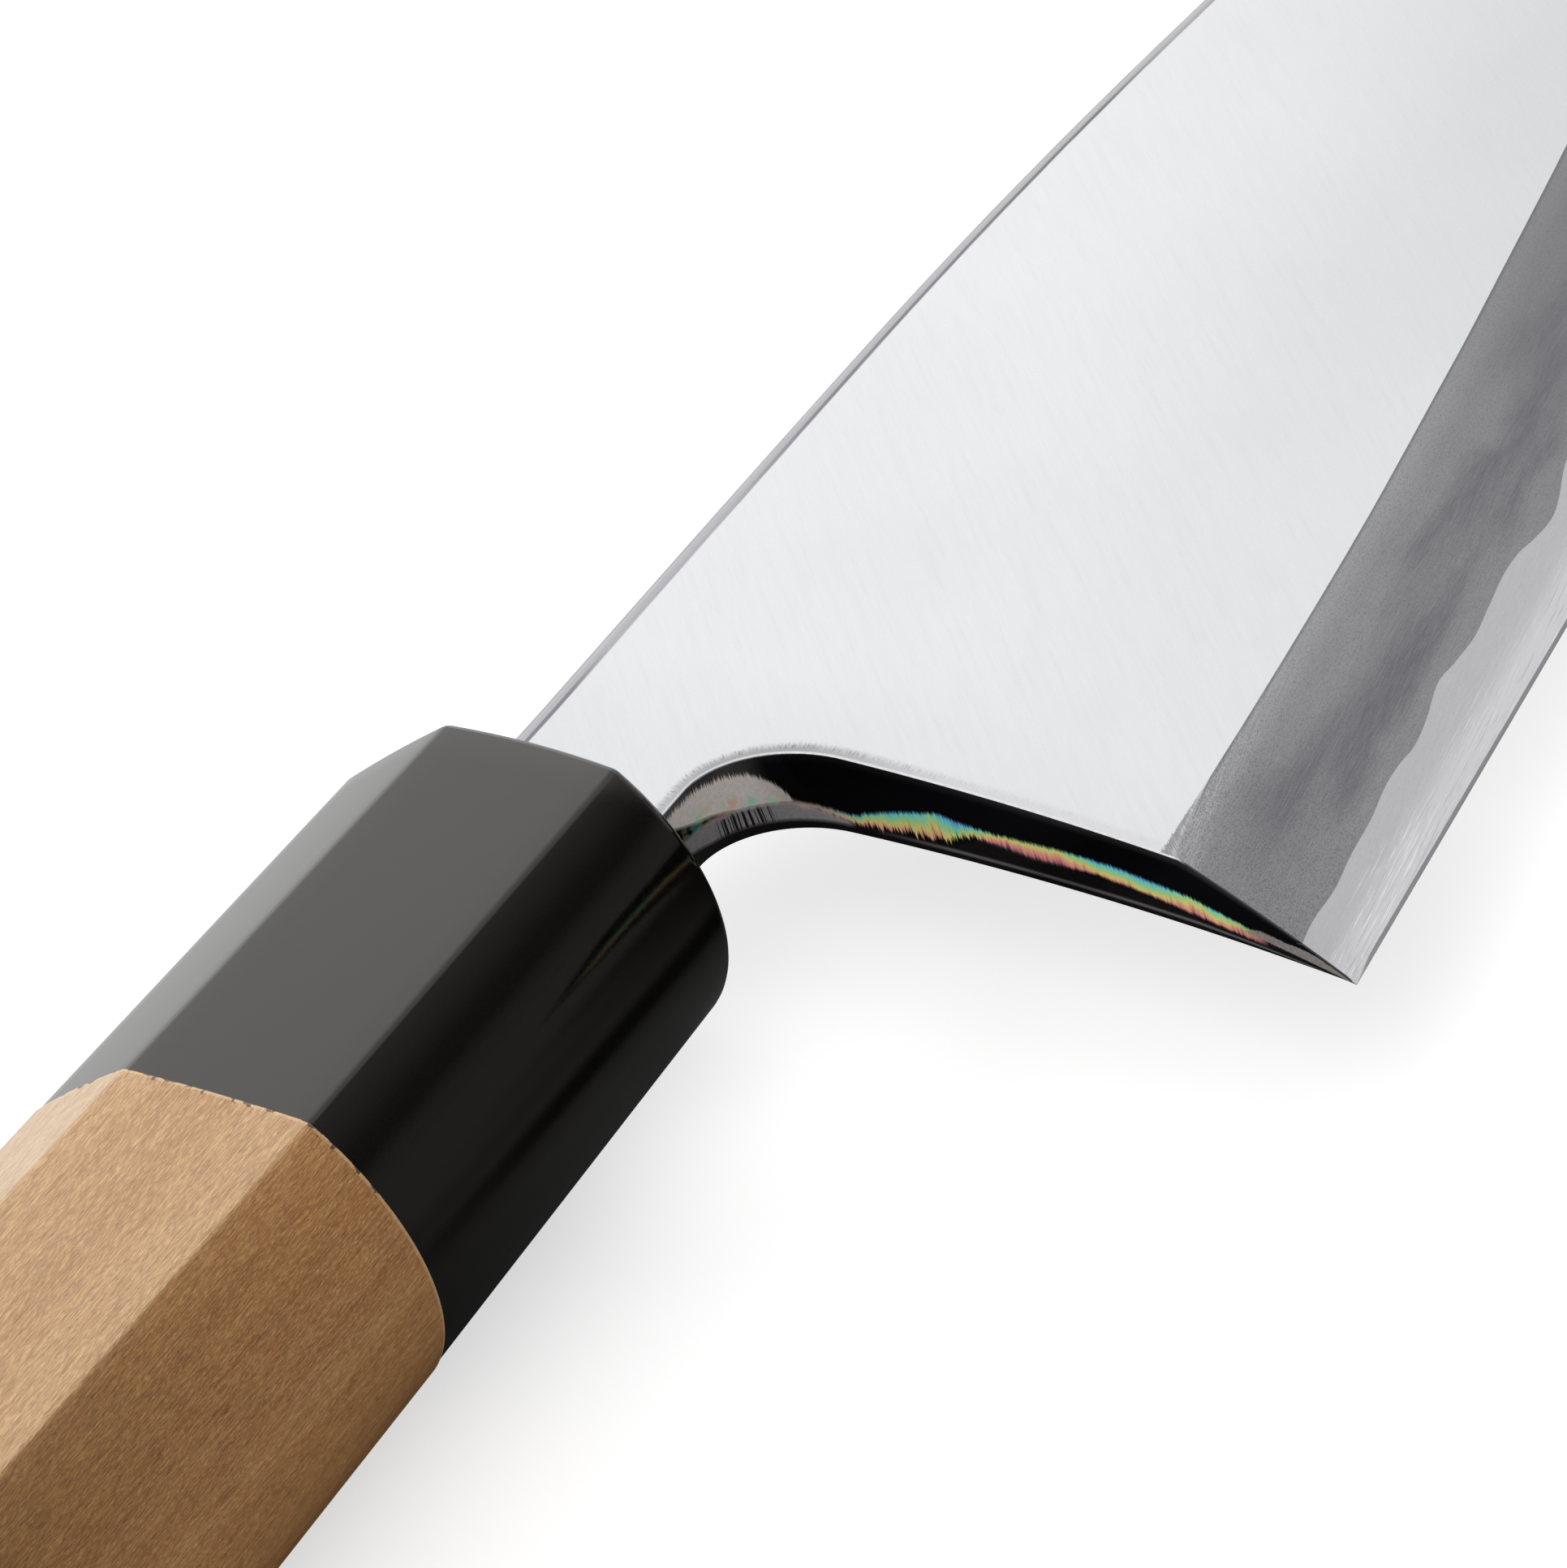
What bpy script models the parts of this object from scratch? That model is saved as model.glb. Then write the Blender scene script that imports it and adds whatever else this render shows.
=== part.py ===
"""Deba knife: a single-bevel blade laminated from soft iron and hard steel, set by its
tapering tang in a half-octagonal wooden handle with a horn ferrule.

The knife lies on its hollow side, as it would on a bench: the point looks along +X, the spine
along +Y and the bevelled face up along +Z. The empty "knife" sits on the handle's axis at the
front of the ferrule, and every piece is placed from there.
"""

import math

import bmesh
import bpy

MM = 0.001
CLEARANCE = 0.3 * MM            # between pieces that touch on the real knife

# Blade, seen square on: heights are measured from the handle's axis
BLADE_LENGTH = 180.0 * MM       # heel corner to point, along the handle's axis
HEEL_GAP = 7.3 * MM             # ferrule front to heel corner
SPINE_HEIGHT = 5.1 * MM         # spine above the axis at the neck
HEEL_DROP = 51.9 * MM           # heel corner below the axis
SPINE_STRAIGHT = 45.0 * MM      # how far from the ferrule the spine stays straight
SPINE_FALL = 20.2 * MM          # fall of the spine from there to the point
EDGE_RISE = 0.0925              # rise of the straight edge, per unit of length
EDGE_STRAIGHT = 88.0 * MM       # length of the straight edge, from the heel
EDGE_SWEEP = 2.1                # power of the belly's upward sweep
POINT_HEIGHT = 0.5 * MM         # blunt height left at the very point

# Ridge between the flat and the bevel
SHINOGI_DROP = 39.65 * MM       # ridge below the axis at the heel
SHINOGI_HEEL_SLOPE = 0.067      # rise per unit of length
SHINOGI_POINT_SLOPE = 0.006
SHINOGI_DIP = 1.85 * MM         # extra drop of the ridge at the heel corner
SHINOGI_DIP_LENGTH = 9.2 * MM

# Thickness
SPINE_THICKNESS = 7.1 * MM      # at the heel
DISTAL_TAPER = 0.016            # thinning of the flat towards the point
FACE_TILT = 0.0375              # thinning of the flat from the spine towards the edge
POINT_THICKNESS = 0.6 * MM
POINT_THINNING_START = 0.7      # share of the blade where the point's thinning begins
EDGE_THICKNESS = 0.12 * MM      # blunt flat left at the cutting edge
SPINE_ROUND = 1.9 * MM          # radius of the polished spine corners at the heel
SPINE_ROUND_TAPER = 0.4         # share of that radius lost on the way to the point
SPINE_ROUND_LIMIT = 0.4         # largest radius, as a share of the steel round it
HOLLOW_FACE_DROP = 2.92 * MM    # hollow side below the handle's axis
HOLLOW_DEPTH = 0.35 * MM
HOLLOW_RIM = 3.0 * MM           # flat rim left round the hollow
HOLLOW_RIM_LIMIT = 0.25         # widest rim, as a share of the blade's height
HOLLOW_RUN_IN = 14.0 * MM       # length over which the hollow deepens at heel and point

# Heel notch
CHOIL_DEPTH = 9.9 * MM          # ferrule front to the heel face, under the neck
NECK_DROP = 9.2 * MM            # underside of the neck below the axis, on the bevelled side
NECK_UNDERCUT = 1.4 * MM        # how much higher the underside is on the hollow side
NECK_FILLET_LENGTH = 5.4 * MM
NECK_FILLET_HEIGHT = 7.8 * MM

# Tang
NECK_SEAT = 3.0 * MM            # full neck let into the ferrule
TANG_LENGTH = 95.0 * MM         # ferrule front to tang end
TANG_HEIGHT = 9.5 * MM
TANG_END_HEIGHT = 6.0 * MM
TANG_THICKNESS = 5.0 * MM
TANG_END_THICKNESS = 3.0 * MM
TANG_DROP = 0.5 * MM            # tang centre below the axis
TANG_LIFT = 0.4 * MM            # tang centre above the axis, towards the bevelled side

# Hard steel lamina on the hollow side
STEEL_THICKNESS = 1.9 * MM
STEEL_BACK_HEEL = 24.0 * MM     # where its rear edge meets the heel face, below the axis
STEEL_BACK_SPINE = 17.0 * MM    # where its rear edge meets the spine, from the ferrule

# Handle: the section at the joint of horn and wood
FERRULE_LENGTH = 30.0 * MM
HANDLE_LENGTH = 137.0 * MM      # ferrule and wood
JOINT_HEIGHT = 28.2 * MM
JOINT_WIDTH = 20.1 * MM
SPINE_FLAT_WIDTH = 7.3 * MM
CHAMFER_HEIGHT = 10.3 * MM
SIDE_FLAT_HEIGHT = 13.8 * MM
FRONT_HEIGHT = 27.1 * MM        # overall section at the ferrule front
FRONT_WIDTH = 19.1 * MM
BUTT_HEIGHT = 29.6 * MM         # overall section at the butt
BUTT_WIDTH = 23.8 * MM
FERRULE_EDGE_ROUND = 1.2 * MM
BUTT_EDGE_ROUND = 1.6 * MM
WOOD_PROUD = 0.1 * MM           # wood stands this much over the horn

# Dowel that joins horn and wood
DOWEL_DIAMETER = 15.0 * MM
DOWEL_IN_FERRULE = 21.7 * MM
DOWEL_IN_WOOD = 18.0 * MM

# Fineness of the faceted shapes
BELLY_SIDES = 12
CORNER_SIDES = 3
HOLLOW_SIDES = 6
HEEL_SIDES = 6
BLADE_STATIONS = 30
STATION_CROWDING = 1.25         # above 1 the stations crowd towards the point
DOWEL_SIDES = 32
SHARP_ANGLE = 20.0              # degrees; flatter edges are shaded round

OVERCUT = 2.0 * MM              # how far a cutter runs past the surface it cuts
SAME_PLACE = 0.01 * MM          # points closer than this count as level

POINT_X = HEEL_GAP + BLADE_LENGTH
HOLLOW_FACE_Z = -HOLLOW_FACE_DROP


def remove_everything():
    """Empty the scene that Blender opens with."""
    for thing in list(bpy.data.objects):
        bpy.data.objects.remove(thing, do_unlink=True)


def blade_share(x):
    """How far along the blade a place lies, 0 at the heel corner and 1 at the point."""
    return max(0.0, (x - HEEL_GAP) / BLADE_LENGTH)


def spine_y(x):
    """Height of the spine: straight, then falling to the point."""
    fall = max(0.0, (x - SPINE_STRAIGHT) / (POINT_X - SPINE_STRAIGHT))
    return SPINE_HEIGHT - SPINE_FALL * fall ** 2


def edge_y(x):
    """Height of the cutting edge: straight from the heel, then sweeping up to the point."""
    straight_end = HEEL_GAP + EDGE_STRAIGHT
    straight = -HEEL_DROP + EDGE_RISE * (x - HEEL_GAP)
    sweep_height = spine_y(POINT_X) - POINT_HEIGHT + HEEL_DROP - EDGE_RISE * BLADE_LENGTH
    sweep = max(0.0, (x - straight_end) / (POINT_X - straight_end))
    return straight + sweep_height * sweep ** EDGE_SWEEP


def shinogi_y(x):
    """Height of the ridge: one cubic from the heel to the point, dipping at the heel corner."""
    t = blade_share(x)
    start = -SHINOGI_DROP
    end = spine_y(POINT_X) - POINT_HEIGHT / 2
    cubic = (
        (2 * t ** 3 - 3 * t ** 2 + 1) * start
        + (t ** 3 - 2 * t ** 2 + t) * BLADE_LENGTH * SHINOGI_HEEL_SLOPE
        + (3 * t ** 2 - 2 * t ** 3) * end
        + (t ** 3 - t ** 2) * BLADE_LENGTH * SHINOGI_POINT_SLOPE
    )
    dip = max(0.0, 1 - max(0.0, x - HEEL_GAP) / SHINOGI_DIP_LENGTH)
    return cubic - SHINOGI_DIP * dip ** 2


def face_thickness(x, y):
    """Thickness of the blade under its flat face: a tilted plane, thinned out at the point."""
    plane = SPINE_THICKNESS - DISTAL_TAPER * (x - HEEL_GAP) - FACE_TILT * (SPINE_HEIGHT - y)
    start = POINT_THINNING_START
    thinning = max(0.0, (blade_share(x) - start) / (1 - start)) ** 2
    return plane * (1 - thinning) + POINT_THICKNESS * thinning


def hollow_depth(x):
    """Depth of the hollow grind, running in from the heel and out at the point."""
    from_heel = (x - CHOIL_DEPTH) / HOLLOW_RUN_IN
    from_point = (POINT_X - x) / HOLLOW_RUN_IN - 1
    return HOLLOW_DEPTH * max(0.0, min(1.0, from_heel, from_point))


def blade_section(x):
    """Outline of the whole blade across its length, as points with the same x."""
    spine = spine_y(x)
    edge = edge_y(x)
    ridge = shinogi_y(x)
    round_limit = SPINE_ROUND_LIMIT * min(spine - ridge, face_thickness(x, spine))
    radius = min(SPINE_ROUND * (1 - SPINE_ROUND_TAPER * blade_share(x)), round_limit)
    top = HOLLOW_FACE_Z + face_thickness(x, spine - radius)
    points = []
    for step in range(CORNER_SIDES + 1):
        angle = math.pi / 2 * step / CORNER_SIDES
        points.append((spine - radius + radius * math.sin(angle), top - radius + radius * math.cos(angle)))
    for step in range(CORNER_SIDES + 1):
        angle = math.pi / 2 * step / CORNER_SIDES
        side = radius * math.cos(angle)
        points.append((spine - radius + side, HOLLOW_FACE_Z + radius - radius * math.sin(angle)))
    rim = min(HOLLOW_RIM, HOLLOW_RIM_LIMIT * (spine - edge))
    hollow_top = spine - radius - rim
    hollow_bottom = edge + rim
    for step in range(HOLLOW_SIDES + 1):
        share = step / HOLLOW_SIDES
        depth = hollow_depth(x) * (1 - (2 * share - 1) ** 2)
        points.append((hollow_top + (hollow_bottom - hollow_top) * share, HOLLOW_FACE_Z + depth))
    points.append((edge, HOLLOW_FACE_Z))
    points.append((edge, HOLLOW_FACE_Z + EDGE_THICKNESS))
    points.append((ridge, HOLLOW_FACE_Z + face_thickness(x, ridge)))
    return [(x, y, z) for y, z in points]


def handle_section(x, height, width):
    """Half-octagonal outline: spine flat, two chamfers, two side flats and a round belly."""
    tall = height / JOINT_HEIGHT
    wide = width / JOINT_WIDTH
    half = JOINT_WIDTH / 2
    top = JOINT_HEIGHT / 2
    shoulder = top - CHAMFER_HEIGHT
    ridge = shoulder - SIDE_FLAT_HEIGHT
    sag = ridge + top
    belly_radius = (half ** 2 + sag ** 2) / (2 * sag)
    sweep = math.asin(half / belly_radius)
    flat = SPINE_FLAT_WIDTH / 2
    points = [(top, -flat), (top, flat), (shoulder, half)]
    for step in range(BELLY_SIDES + 1):
        angle = sweep * (1 - 2 * step / BELLY_SIDES)
        points.append((belly_radius - top - belly_radius * math.cos(angle), belly_radius * math.sin(angle)))
    points.append((shoulder, -half))
    return [(x, y * tall, z * wide) for y, z in points]


def new_object(name, shape, parent):
    """Turn a finished bmesh into an object that hangs from the parent."""
    bmesh.ops.recalc_face_normals(shape, faces=shape.faces)
    if shape.calc_volume(signed=True) < 0:
        bmesh.ops.reverse_faces(shape, faces=shape.faces)
    mesh = bpy.data.meshes.new(name)
    shape.to_mesh(mesh)
    shape.free()
    thing = bpy.data.objects.new(name, mesh)
    bpy.context.scene.collection.objects.link(thing)
    thing.parent = parent
    return thing


def loft(sections):
    """Closed solid through a row of outlines that have the same number of points."""
    shape = bmesh.new()
    rings = []
    for section in sections:
        verts = [shape.verts.new(point) for point in section]
        rings.append([shape.edges.new((verts[i - 1], verts[i])) for i in range(len(verts))])
    for ring, following in zip(rings, rings[1:]):
        bmesh.ops.bridge_loops(shape, edges=ring + following)
    bmesh.ops.contextual_create(shape, geom=rings[0])
    bmesh.ops.contextual_create(shape, geom=rings[-1])
    return shape


def prism(outline, low, high):
    """Plan outline in x and y, drawn up from one height to another."""
    shape = bmesh.new()
    verts = [shape.verts.new((x, y, low)) for x, y in outline]
    face = shape.faces.new(verts)
    grown = bmesh.ops.extrude_face_region(shape, geom=[face])
    raised = [item for item in grown["geom"] if isinstance(item, bmesh.types.BMVert)]
    bmesh.ops.translate(shape, verts=raised, vec=(0, 0, high - low))
    return shape


def box(low, high):
    """Box between two opposite corners."""
    outline = [(low[0], low[1]), (high[0], low[1]), (high[0], high[1]), (low[0], high[1])]
    return prism(outline, low[2], high[2])


def rod(start, end, diameter):
    """Round bar along the handle's axis between two places."""
    shape = bmesh.new()
    bmesh.ops.create_cone(
        shape, cap_ends=True, segments=DOWEL_SIDES, radius1=diameter / 2, radius2=diameter / 2,
        depth=end - start,
    )
    for vert in shape.verts:
        x, y, z = vert.co
        vert.co = ((start + end) / 2 + z, y, -x)
    return shape


def make_cutter(name, shape, parent):
    """Object that only cuts others."""
    cutter = new_object(name, shape, parent)
    cutter.hide_render = True
    cutter.display_type = "WIRE"
    return cutter


def combine(thing, other, operation):
    """Add an exact Boolean modifier."""
    modifier = thing.modifiers.new(operation.lower(), "BOOLEAN")
    modifier.operation = operation
    modifier.solver = "EXACT"
    modifier.object = other


def give_material(thing, colour, roughness, metallic):
    """One Principled material per piece."""
    material = bpy.data.materials.new(thing.name)
    material.use_nodes = True
    shader = material.node_tree.nodes["Principled BSDF"]
    shader.inputs["Base Color"].default_value = (*colour, 1)
    shader.inputs["Roughness"].default_value = roughness
    shader.inputs["Metallic"].default_value = metallic
    thing.data.materials.append(material)


def shade_round(thing):
    """Shade the curved stretches smooth and keep real ridges sharp."""
    thing.data.shade_smooth()
    thing.data.set_sharp_from_angle(angle=math.radians(SHARP_ANGLE))


def blade_stations():
    """Places along the blade, closer together towards the point."""
    start = -NECK_SEAT
    length = POINT_X - start
    shares = [step / (BLADE_STATIONS - 1) for step in range(BLADE_STATIONS)]
    return [start + length * (1 - (1 - share) ** STATION_CROWDING) for share in shares]


def whole_blade():
    """Blade before the heel is cut out, from the end of the neck to the point."""
    return loft([blade_section(x) for x in blade_stations()])


def notch_outline(neck_y, choil_x):
    """Plan of the space under the neck: neck underside, fillet, then the heel face."""
    fillet = []
    corner_x = choil_x - NECK_FILLET_LENGTH
    for step in range(HEEL_SIDES + 1):
        angle = math.pi / 2 * step / HEEL_SIDES
        x = corner_x + NECK_FILLET_LENGTH * math.sin(angle)
        y = neck_y - NECK_FILLET_HEIGHT * (1 - math.cos(angle))
        fillet.append((x, y))
    face_top = neck_y - NECK_FILLET_HEIGHT
    lean = choil_x - HEEL_GAP
    height = HEEL_DROP + face_top
    face = []
    for step in range(1, HEEL_SIDES + 1):
        share = step / HEEL_SIDES
        face.append((choil_x - lean * share ** 2, face_top - height * share))
    below = -HEEL_DROP - OVERCUT
    back = -NECK_SEAT - OVERCUT
    return [(back, neck_y)] + fillet + face + [(HEEL_GAP, below), (back, below)]


def heel_notch_shape():
    """Cutter for the heel notch; the underside of the neck rises towards the hollow side."""
    low_z = HOLLOW_FACE_Z
    high_z = HOLLOW_FACE_Z + face_thickness(0, -NECK_DROP)
    rise = NECK_UNDERCUT / (high_z - low_z)
    sections = []
    for z in (low_z - OVERCUT, high_z + OVERCUT):
        neck_y = -NECK_DROP + rise * (high_z - z)
        sections.append([(x, y, z) for x, y in notch_outline(neck_y, CHOIL_DEPTH)])
    return loft(sections)


def tang_shape(clearance, front):
    """Tapering tang, or the hole for it when a clearance is given."""
    def across(x, height, thickness):
        up = height / 2 + clearance
        side = thickness / 2 + clearance
        corners = ((-up, -side), (up, -side), (up, side), (-up, side))
        return [(x, y - TANG_DROP, z + TANG_LIFT) for y, z in corners]
    return loft([
        across(-TANG_LENGTH - clearance, TANG_END_HEIGHT, TANG_END_THICKNESS),
        across(front, TANG_HEIGHT, TANG_THICKNESS),
    ])


def steel_region(clearance):
    """Space of the hard steel: a layer on the hollow side with a slanting rear edge."""
    lean = (STEEL_BACK_SPINE - CHOIL_DEPTH) / (SPINE_HEIGHT + STEEL_BACK_HEEL)
    shift = clearance * math.hypot(1, lean)
    rear_low = (CHOIL_DEPTH - shift - OVERCUT * lean, -STEEL_BACK_HEEL - OVERCUT)
    rear_high = (STEEL_BACK_SPINE - shift + OVERCUT * lean, SPINE_HEIGHT + OVERCUT)
    behind = -OVERCUT
    below = -HEEL_DROP - OVERCUT
    beyond = POINT_X + OVERCUT
    outline = [
        rear_low,
        (behind, rear_low[1]),
        (behind, below),
        (beyond, below),
        (beyond, rear_high[1]),
        rear_high,
    ]
    return prism(outline, HOLLOW_FACE_Z - OVERCUT, HOLLOW_FACE_Z + STEEL_THICKNESS + clearance)


def blade_pieces(knife):
    """Soft iron body with its tang, and the hard steel lamina that carries the edge."""
    notch = make_cutter("heel_notch", heel_notch_shape(), knife)
    tang_front = -NECK_SEAT + min(OVERCUT, NECK_SEAT / 2)
    tang = make_cutter("tang", tang_shape(0, tang_front), knife)
    steel_space = make_cutter("steel_space", steel_region(0), knife)
    iron_cut = make_cutter("iron_cut", steel_region(CLEARANCE), knife)

    cladding = new_object("blade_cladding", whole_blade(), knife)
    combine(cladding, notch, "DIFFERENCE")
    combine(cladding, iron_cut, "DIFFERENCE")
    combine(cladding, tang, "UNION")
    give_material(cladding, (0.62, 0.62, 0.64), 0.32, 1.0)

    steel = new_object("edge_steel", whole_blade(), knife)
    combine(steel, notch, "DIFFERENCE")
    combine(steel, steel_space, "INTERSECT")
    give_material(steel, (0.74, 0.74, 0.76), 0.22, 1.0)


def rounded_end(shape, x, radius):
    """Round the outer edge of a handle piece's end face."""
    def at_end(vert):
        return abs(vert.co.x - x) < SAME_PLACE

    edges = [edge for edge in shape.edges if all(at_end(vert) for vert in edge.verts)]
    bmesh.ops.bevel(
        shape, geom=edges, offset=radius, segments=CORNER_SIDES, profile=0.5, affect="EDGES",
    )


def ferrule_piece(knife):
    """Horn ferrule with a pocket for the neck and a bore for the dowel."""
    sections = [
        handle_section(-FERRULE_LENGTH, JOINT_HEIGHT, JOINT_WIDTH),
        handle_section(0, FRONT_HEIGHT, FRONT_WIDTH),
    ]
    shape = loft(sections)
    rounded_end(shape, 0, FERRULE_EDGE_ROUND)
    ferrule = new_object("ferrule", shape, knife)

    neck_top = HOLLOW_FACE_Z + face_thickness(-NECK_SEAT, SPINE_HEIGHT) + CLEARANCE
    pocket = box(
        (-NECK_SEAT - CLEARANCE, -NECK_DROP - CLEARANCE, HOLLOW_FACE_Z - CLEARANCE),
        (OVERCUT, SPINE_HEIGHT + CLEARANCE, neck_top),
    )
    bore = rod(-FERRULE_LENGTH - OVERCUT, -FERRULE_LENGTH + DOWEL_IN_FERRULE + CLEARANCE,
               DOWEL_DIAMETER + 2 * CLEARANCE)
    combine(ferrule, make_cutter("neck_pocket", pocket, knife), "DIFFERENCE")
    combine(ferrule, make_cutter("ferrule_bore", bore, knife), "DIFFERENCE")
    combine(ferrule, make_cutter("ferrule_tang_hole", tang_shape(CLEARANCE, 0), knife), "DIFFERENCE")
    give_material(ferrule, (0.012, 0.011, 0.010), 0.18, 0.0)
    shade_round(ferrule)


def dowel_piece(knife):
    """Wooden dowel glued into horn and wood, slotted for the tang."""
    start = -FERRULE_LENGTH - DOWEL_IN_WOOD
    end = -FERRULE_LENGTH + DOWEL_IN_FERRULE
    dowel = new_object("dowel", rod(start, end, DOWEL_DIAMETER), knife)
    slot = tang_shape(CLEARANCE, 0)
    combine(dowel, make_cutter("dowel_slot", slot, knife), "DIFFERENCE")
    give_material(dowel, (0.52, 0.36, 0.21), 0.6, 0.0)
    shade_round(dowel)


def handle_piece(knife):
    """Wooden handle, bored for the dowel and burnt out for the tang."""
    proud = 2 * WOOD_PROUD
    sections = [
        handle_section(-HANDLE_LENGTH, BUTT_HEIGHT, BUTT_WIDTH),
        handle_section(-FERRULE_LENGTH - CLEARANCE, JOINT_HEIGHT + proud, JOINT_WIDTH + proud),
    ]
    shape = loft(sections)
    rounded_end(shape, -HANDLE_LENGTH, BUTT_EDGE_ROUND)
    handle = new_object("handle_body", shape, knife)
    bore = rod(-FERRULE_LENGTH - DOWEL_IN_WOOD - CLEARANCE, -FERRULE_LENGTH + OVERCUT,
               DOWEL_DIAMETER + 2 * CLEARANCE)
    combine(handle, make_cutter("handle_bore", bore, knife), "DIFFERENCE")
    combine(handle, make_cutter("handle_tang_hole", tang_shape(CLEARANCE, 0), knife), "DIFFERENCE")
    give_material(handle, (0.46, 0.27, 0.13), 0.5, 0.0)
    shade_round(handle)


def main():
    remove_everything()
    knife = bpy.data.objects.new("knife", None)
    bpy.context.scene.collection.objects.link(knife)
    middle_x = (HANDLE_LENGTH - POINT_X) / 2
    middle_y = (HEEL_DROP - BUTT_HEIGHT / 2) / 2
    knife.location = (middle_x, middle_y, BUTT_WIDTH / 2)
    blade_pieces(knife)
    ferrule_piece(knife)
    dowel_piece(knife)
    handle_piece(knife)


main()
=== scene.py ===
# %% [markdown]
# # A deba knife from the smith's bench
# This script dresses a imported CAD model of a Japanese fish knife. The CAD part says where
# everything is. The script builds the surfaces that the eye reads: a two-layer blade with one
# bevel, a polished heel, a black horn ferrule and a wooden handle.
#
# All sizes below are millimetres in the knife's own directions: x runs from the front of the
# ferrule to the point, y from the edge to the spine, z out of the bevelled face.

# %% The frame
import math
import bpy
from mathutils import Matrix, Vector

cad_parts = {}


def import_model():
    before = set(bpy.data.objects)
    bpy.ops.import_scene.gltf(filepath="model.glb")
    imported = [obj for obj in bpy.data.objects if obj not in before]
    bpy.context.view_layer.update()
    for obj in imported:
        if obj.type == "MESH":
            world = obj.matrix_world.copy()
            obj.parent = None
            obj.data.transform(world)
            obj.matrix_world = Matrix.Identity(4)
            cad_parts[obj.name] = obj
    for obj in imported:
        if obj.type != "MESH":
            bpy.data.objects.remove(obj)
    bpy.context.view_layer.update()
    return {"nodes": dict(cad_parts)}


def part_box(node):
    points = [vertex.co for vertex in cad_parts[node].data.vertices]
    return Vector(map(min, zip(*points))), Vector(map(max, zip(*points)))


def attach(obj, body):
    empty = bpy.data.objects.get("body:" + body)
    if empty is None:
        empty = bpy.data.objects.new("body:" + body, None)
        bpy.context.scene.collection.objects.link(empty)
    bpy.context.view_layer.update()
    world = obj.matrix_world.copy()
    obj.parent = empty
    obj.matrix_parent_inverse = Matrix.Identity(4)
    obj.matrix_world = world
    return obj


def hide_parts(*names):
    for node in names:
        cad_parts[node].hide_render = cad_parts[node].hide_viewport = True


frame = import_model()

# %% [markdown]
# ## Modules and units
# Blender measures in metres, but a smith thinks in millimetres. One constant turns one into the
# other.

# %% Modules and units
from types import SimpleNamespace

import bmesh
import bpy
from mathutils import Matrix, Vector, noise

MM = 0.001

# %% [markdown]
# ## Where the knife lies
# The ferrule is symmetric about the handle's axis, so its box gives the knife's own origin: the
# middle of the box in y and z, and its front end in x. Every mesh is built in millimetres round
# that origin and moved to its place once, at the end, so that its object can stay unturned.

# %% The knife's origin
ferrule_low, ferrule_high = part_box("ferrule")
ORIGIN = Vector((
    ferrule_high.x,
    (ferrule_low.y + ferrule_high.y) / 2,
    (ferrule_low.z + ferrule_high.z) / 2,
))
TO_WORLD = Matrix.Translation(ORIGIN) @ Matrix.Scale(MM, 4)
print("knife origin in mm:", [round(value / MM, 2) for value in ORIGIN])

# %% [markdown]
# ## The outline of the blade
# A deba has a nearly straight spine with a very slight belly, which falls to the point, and an edge
# that starts straight and sweeps up. The ridge between flat and bevel, the shinogi, runs between
# them. Each line is one small formula, so any station along the blade can ask for its height.

# %% Blade sizes
BLADE_LENGTH = 180.0
HEEL_GAP = 7.3
POINT_X = HEEL_GAP + BLADE_LENGTH
SPINE_HEIGHT = 5.1
SPINE_STRAIGHT = 45.0
SPINE_FALL = 20.2
SPINE_BELLY = 0.3
SPINE_BELLY_START = 8.0
SPINE_BELLY_END = 84.0
HEEL_DROP = 51.9
EDGE_RISE = 0.0925
EDGE_STRAIGHT = 88.0
EDGE_SWEEP = 2.1
POINT_HEIGHT = 0.5
SHINOGI_DROP = 39.65
SHINOGI_HEEL_SLOPE = 0.067
SHINOGI_POINT_SLOPE = 0.006
SHINOGI_DIP = 1.85
SHINOGI_DIP_LENGTH = 9.2
SHINOGI_WAVER = 0.07
WAVER_LENGTH = 9.0
WAVER_SEED = 3.7
BACK_Z = -2.92
SPINE_THICKNESS = 7.1
DISTAL_TAPER = 0.016
FACE_TILT = 0.0375
POINT_THICKNESS = 0.6
POINT_THINNING_START = 0.7


def clamp(value, low=0.0, high=1.0):
    return min(high, max(low, value))


def blade_share(x):
    """0 at the heel corner, 1 at the point."""
    return max(0.0, (x - HEEL_GAP) / BLADE_LENGTH)


def spine_y(x):
    fall = max(0.0, (x - SPINE_STRAIGHT) / (POINT_X - SPINE_STRAIGHT))
    bulge = (x - SPINE_BELLY_START) / (SPINE_BELLY_END - SPINE_BELLY_START)
    belly = SPINE_BELLY * math.sin(math.pi * clamp(bulge))
    return SPINE_HEIGHT - SPINE_FALL * fall ** 2 + belly


def edge_y(x):
    straight_end = HEEL_GAP + EDGE_STRAIGHT
    sweep_height = spine_y(POINT_X) - POINT_HEIGHT + HEEL_DROP - EDGE_RISE * BLADE_LENGTH
    sweep = max(0.0, (x - straight_end) / (POINT_X - straight_end))
    return EDGE_RISE * (x - HEEL_GAP) - HEEL_DROP + sweep_height * sweep ** EDGE_SWEEP


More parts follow.
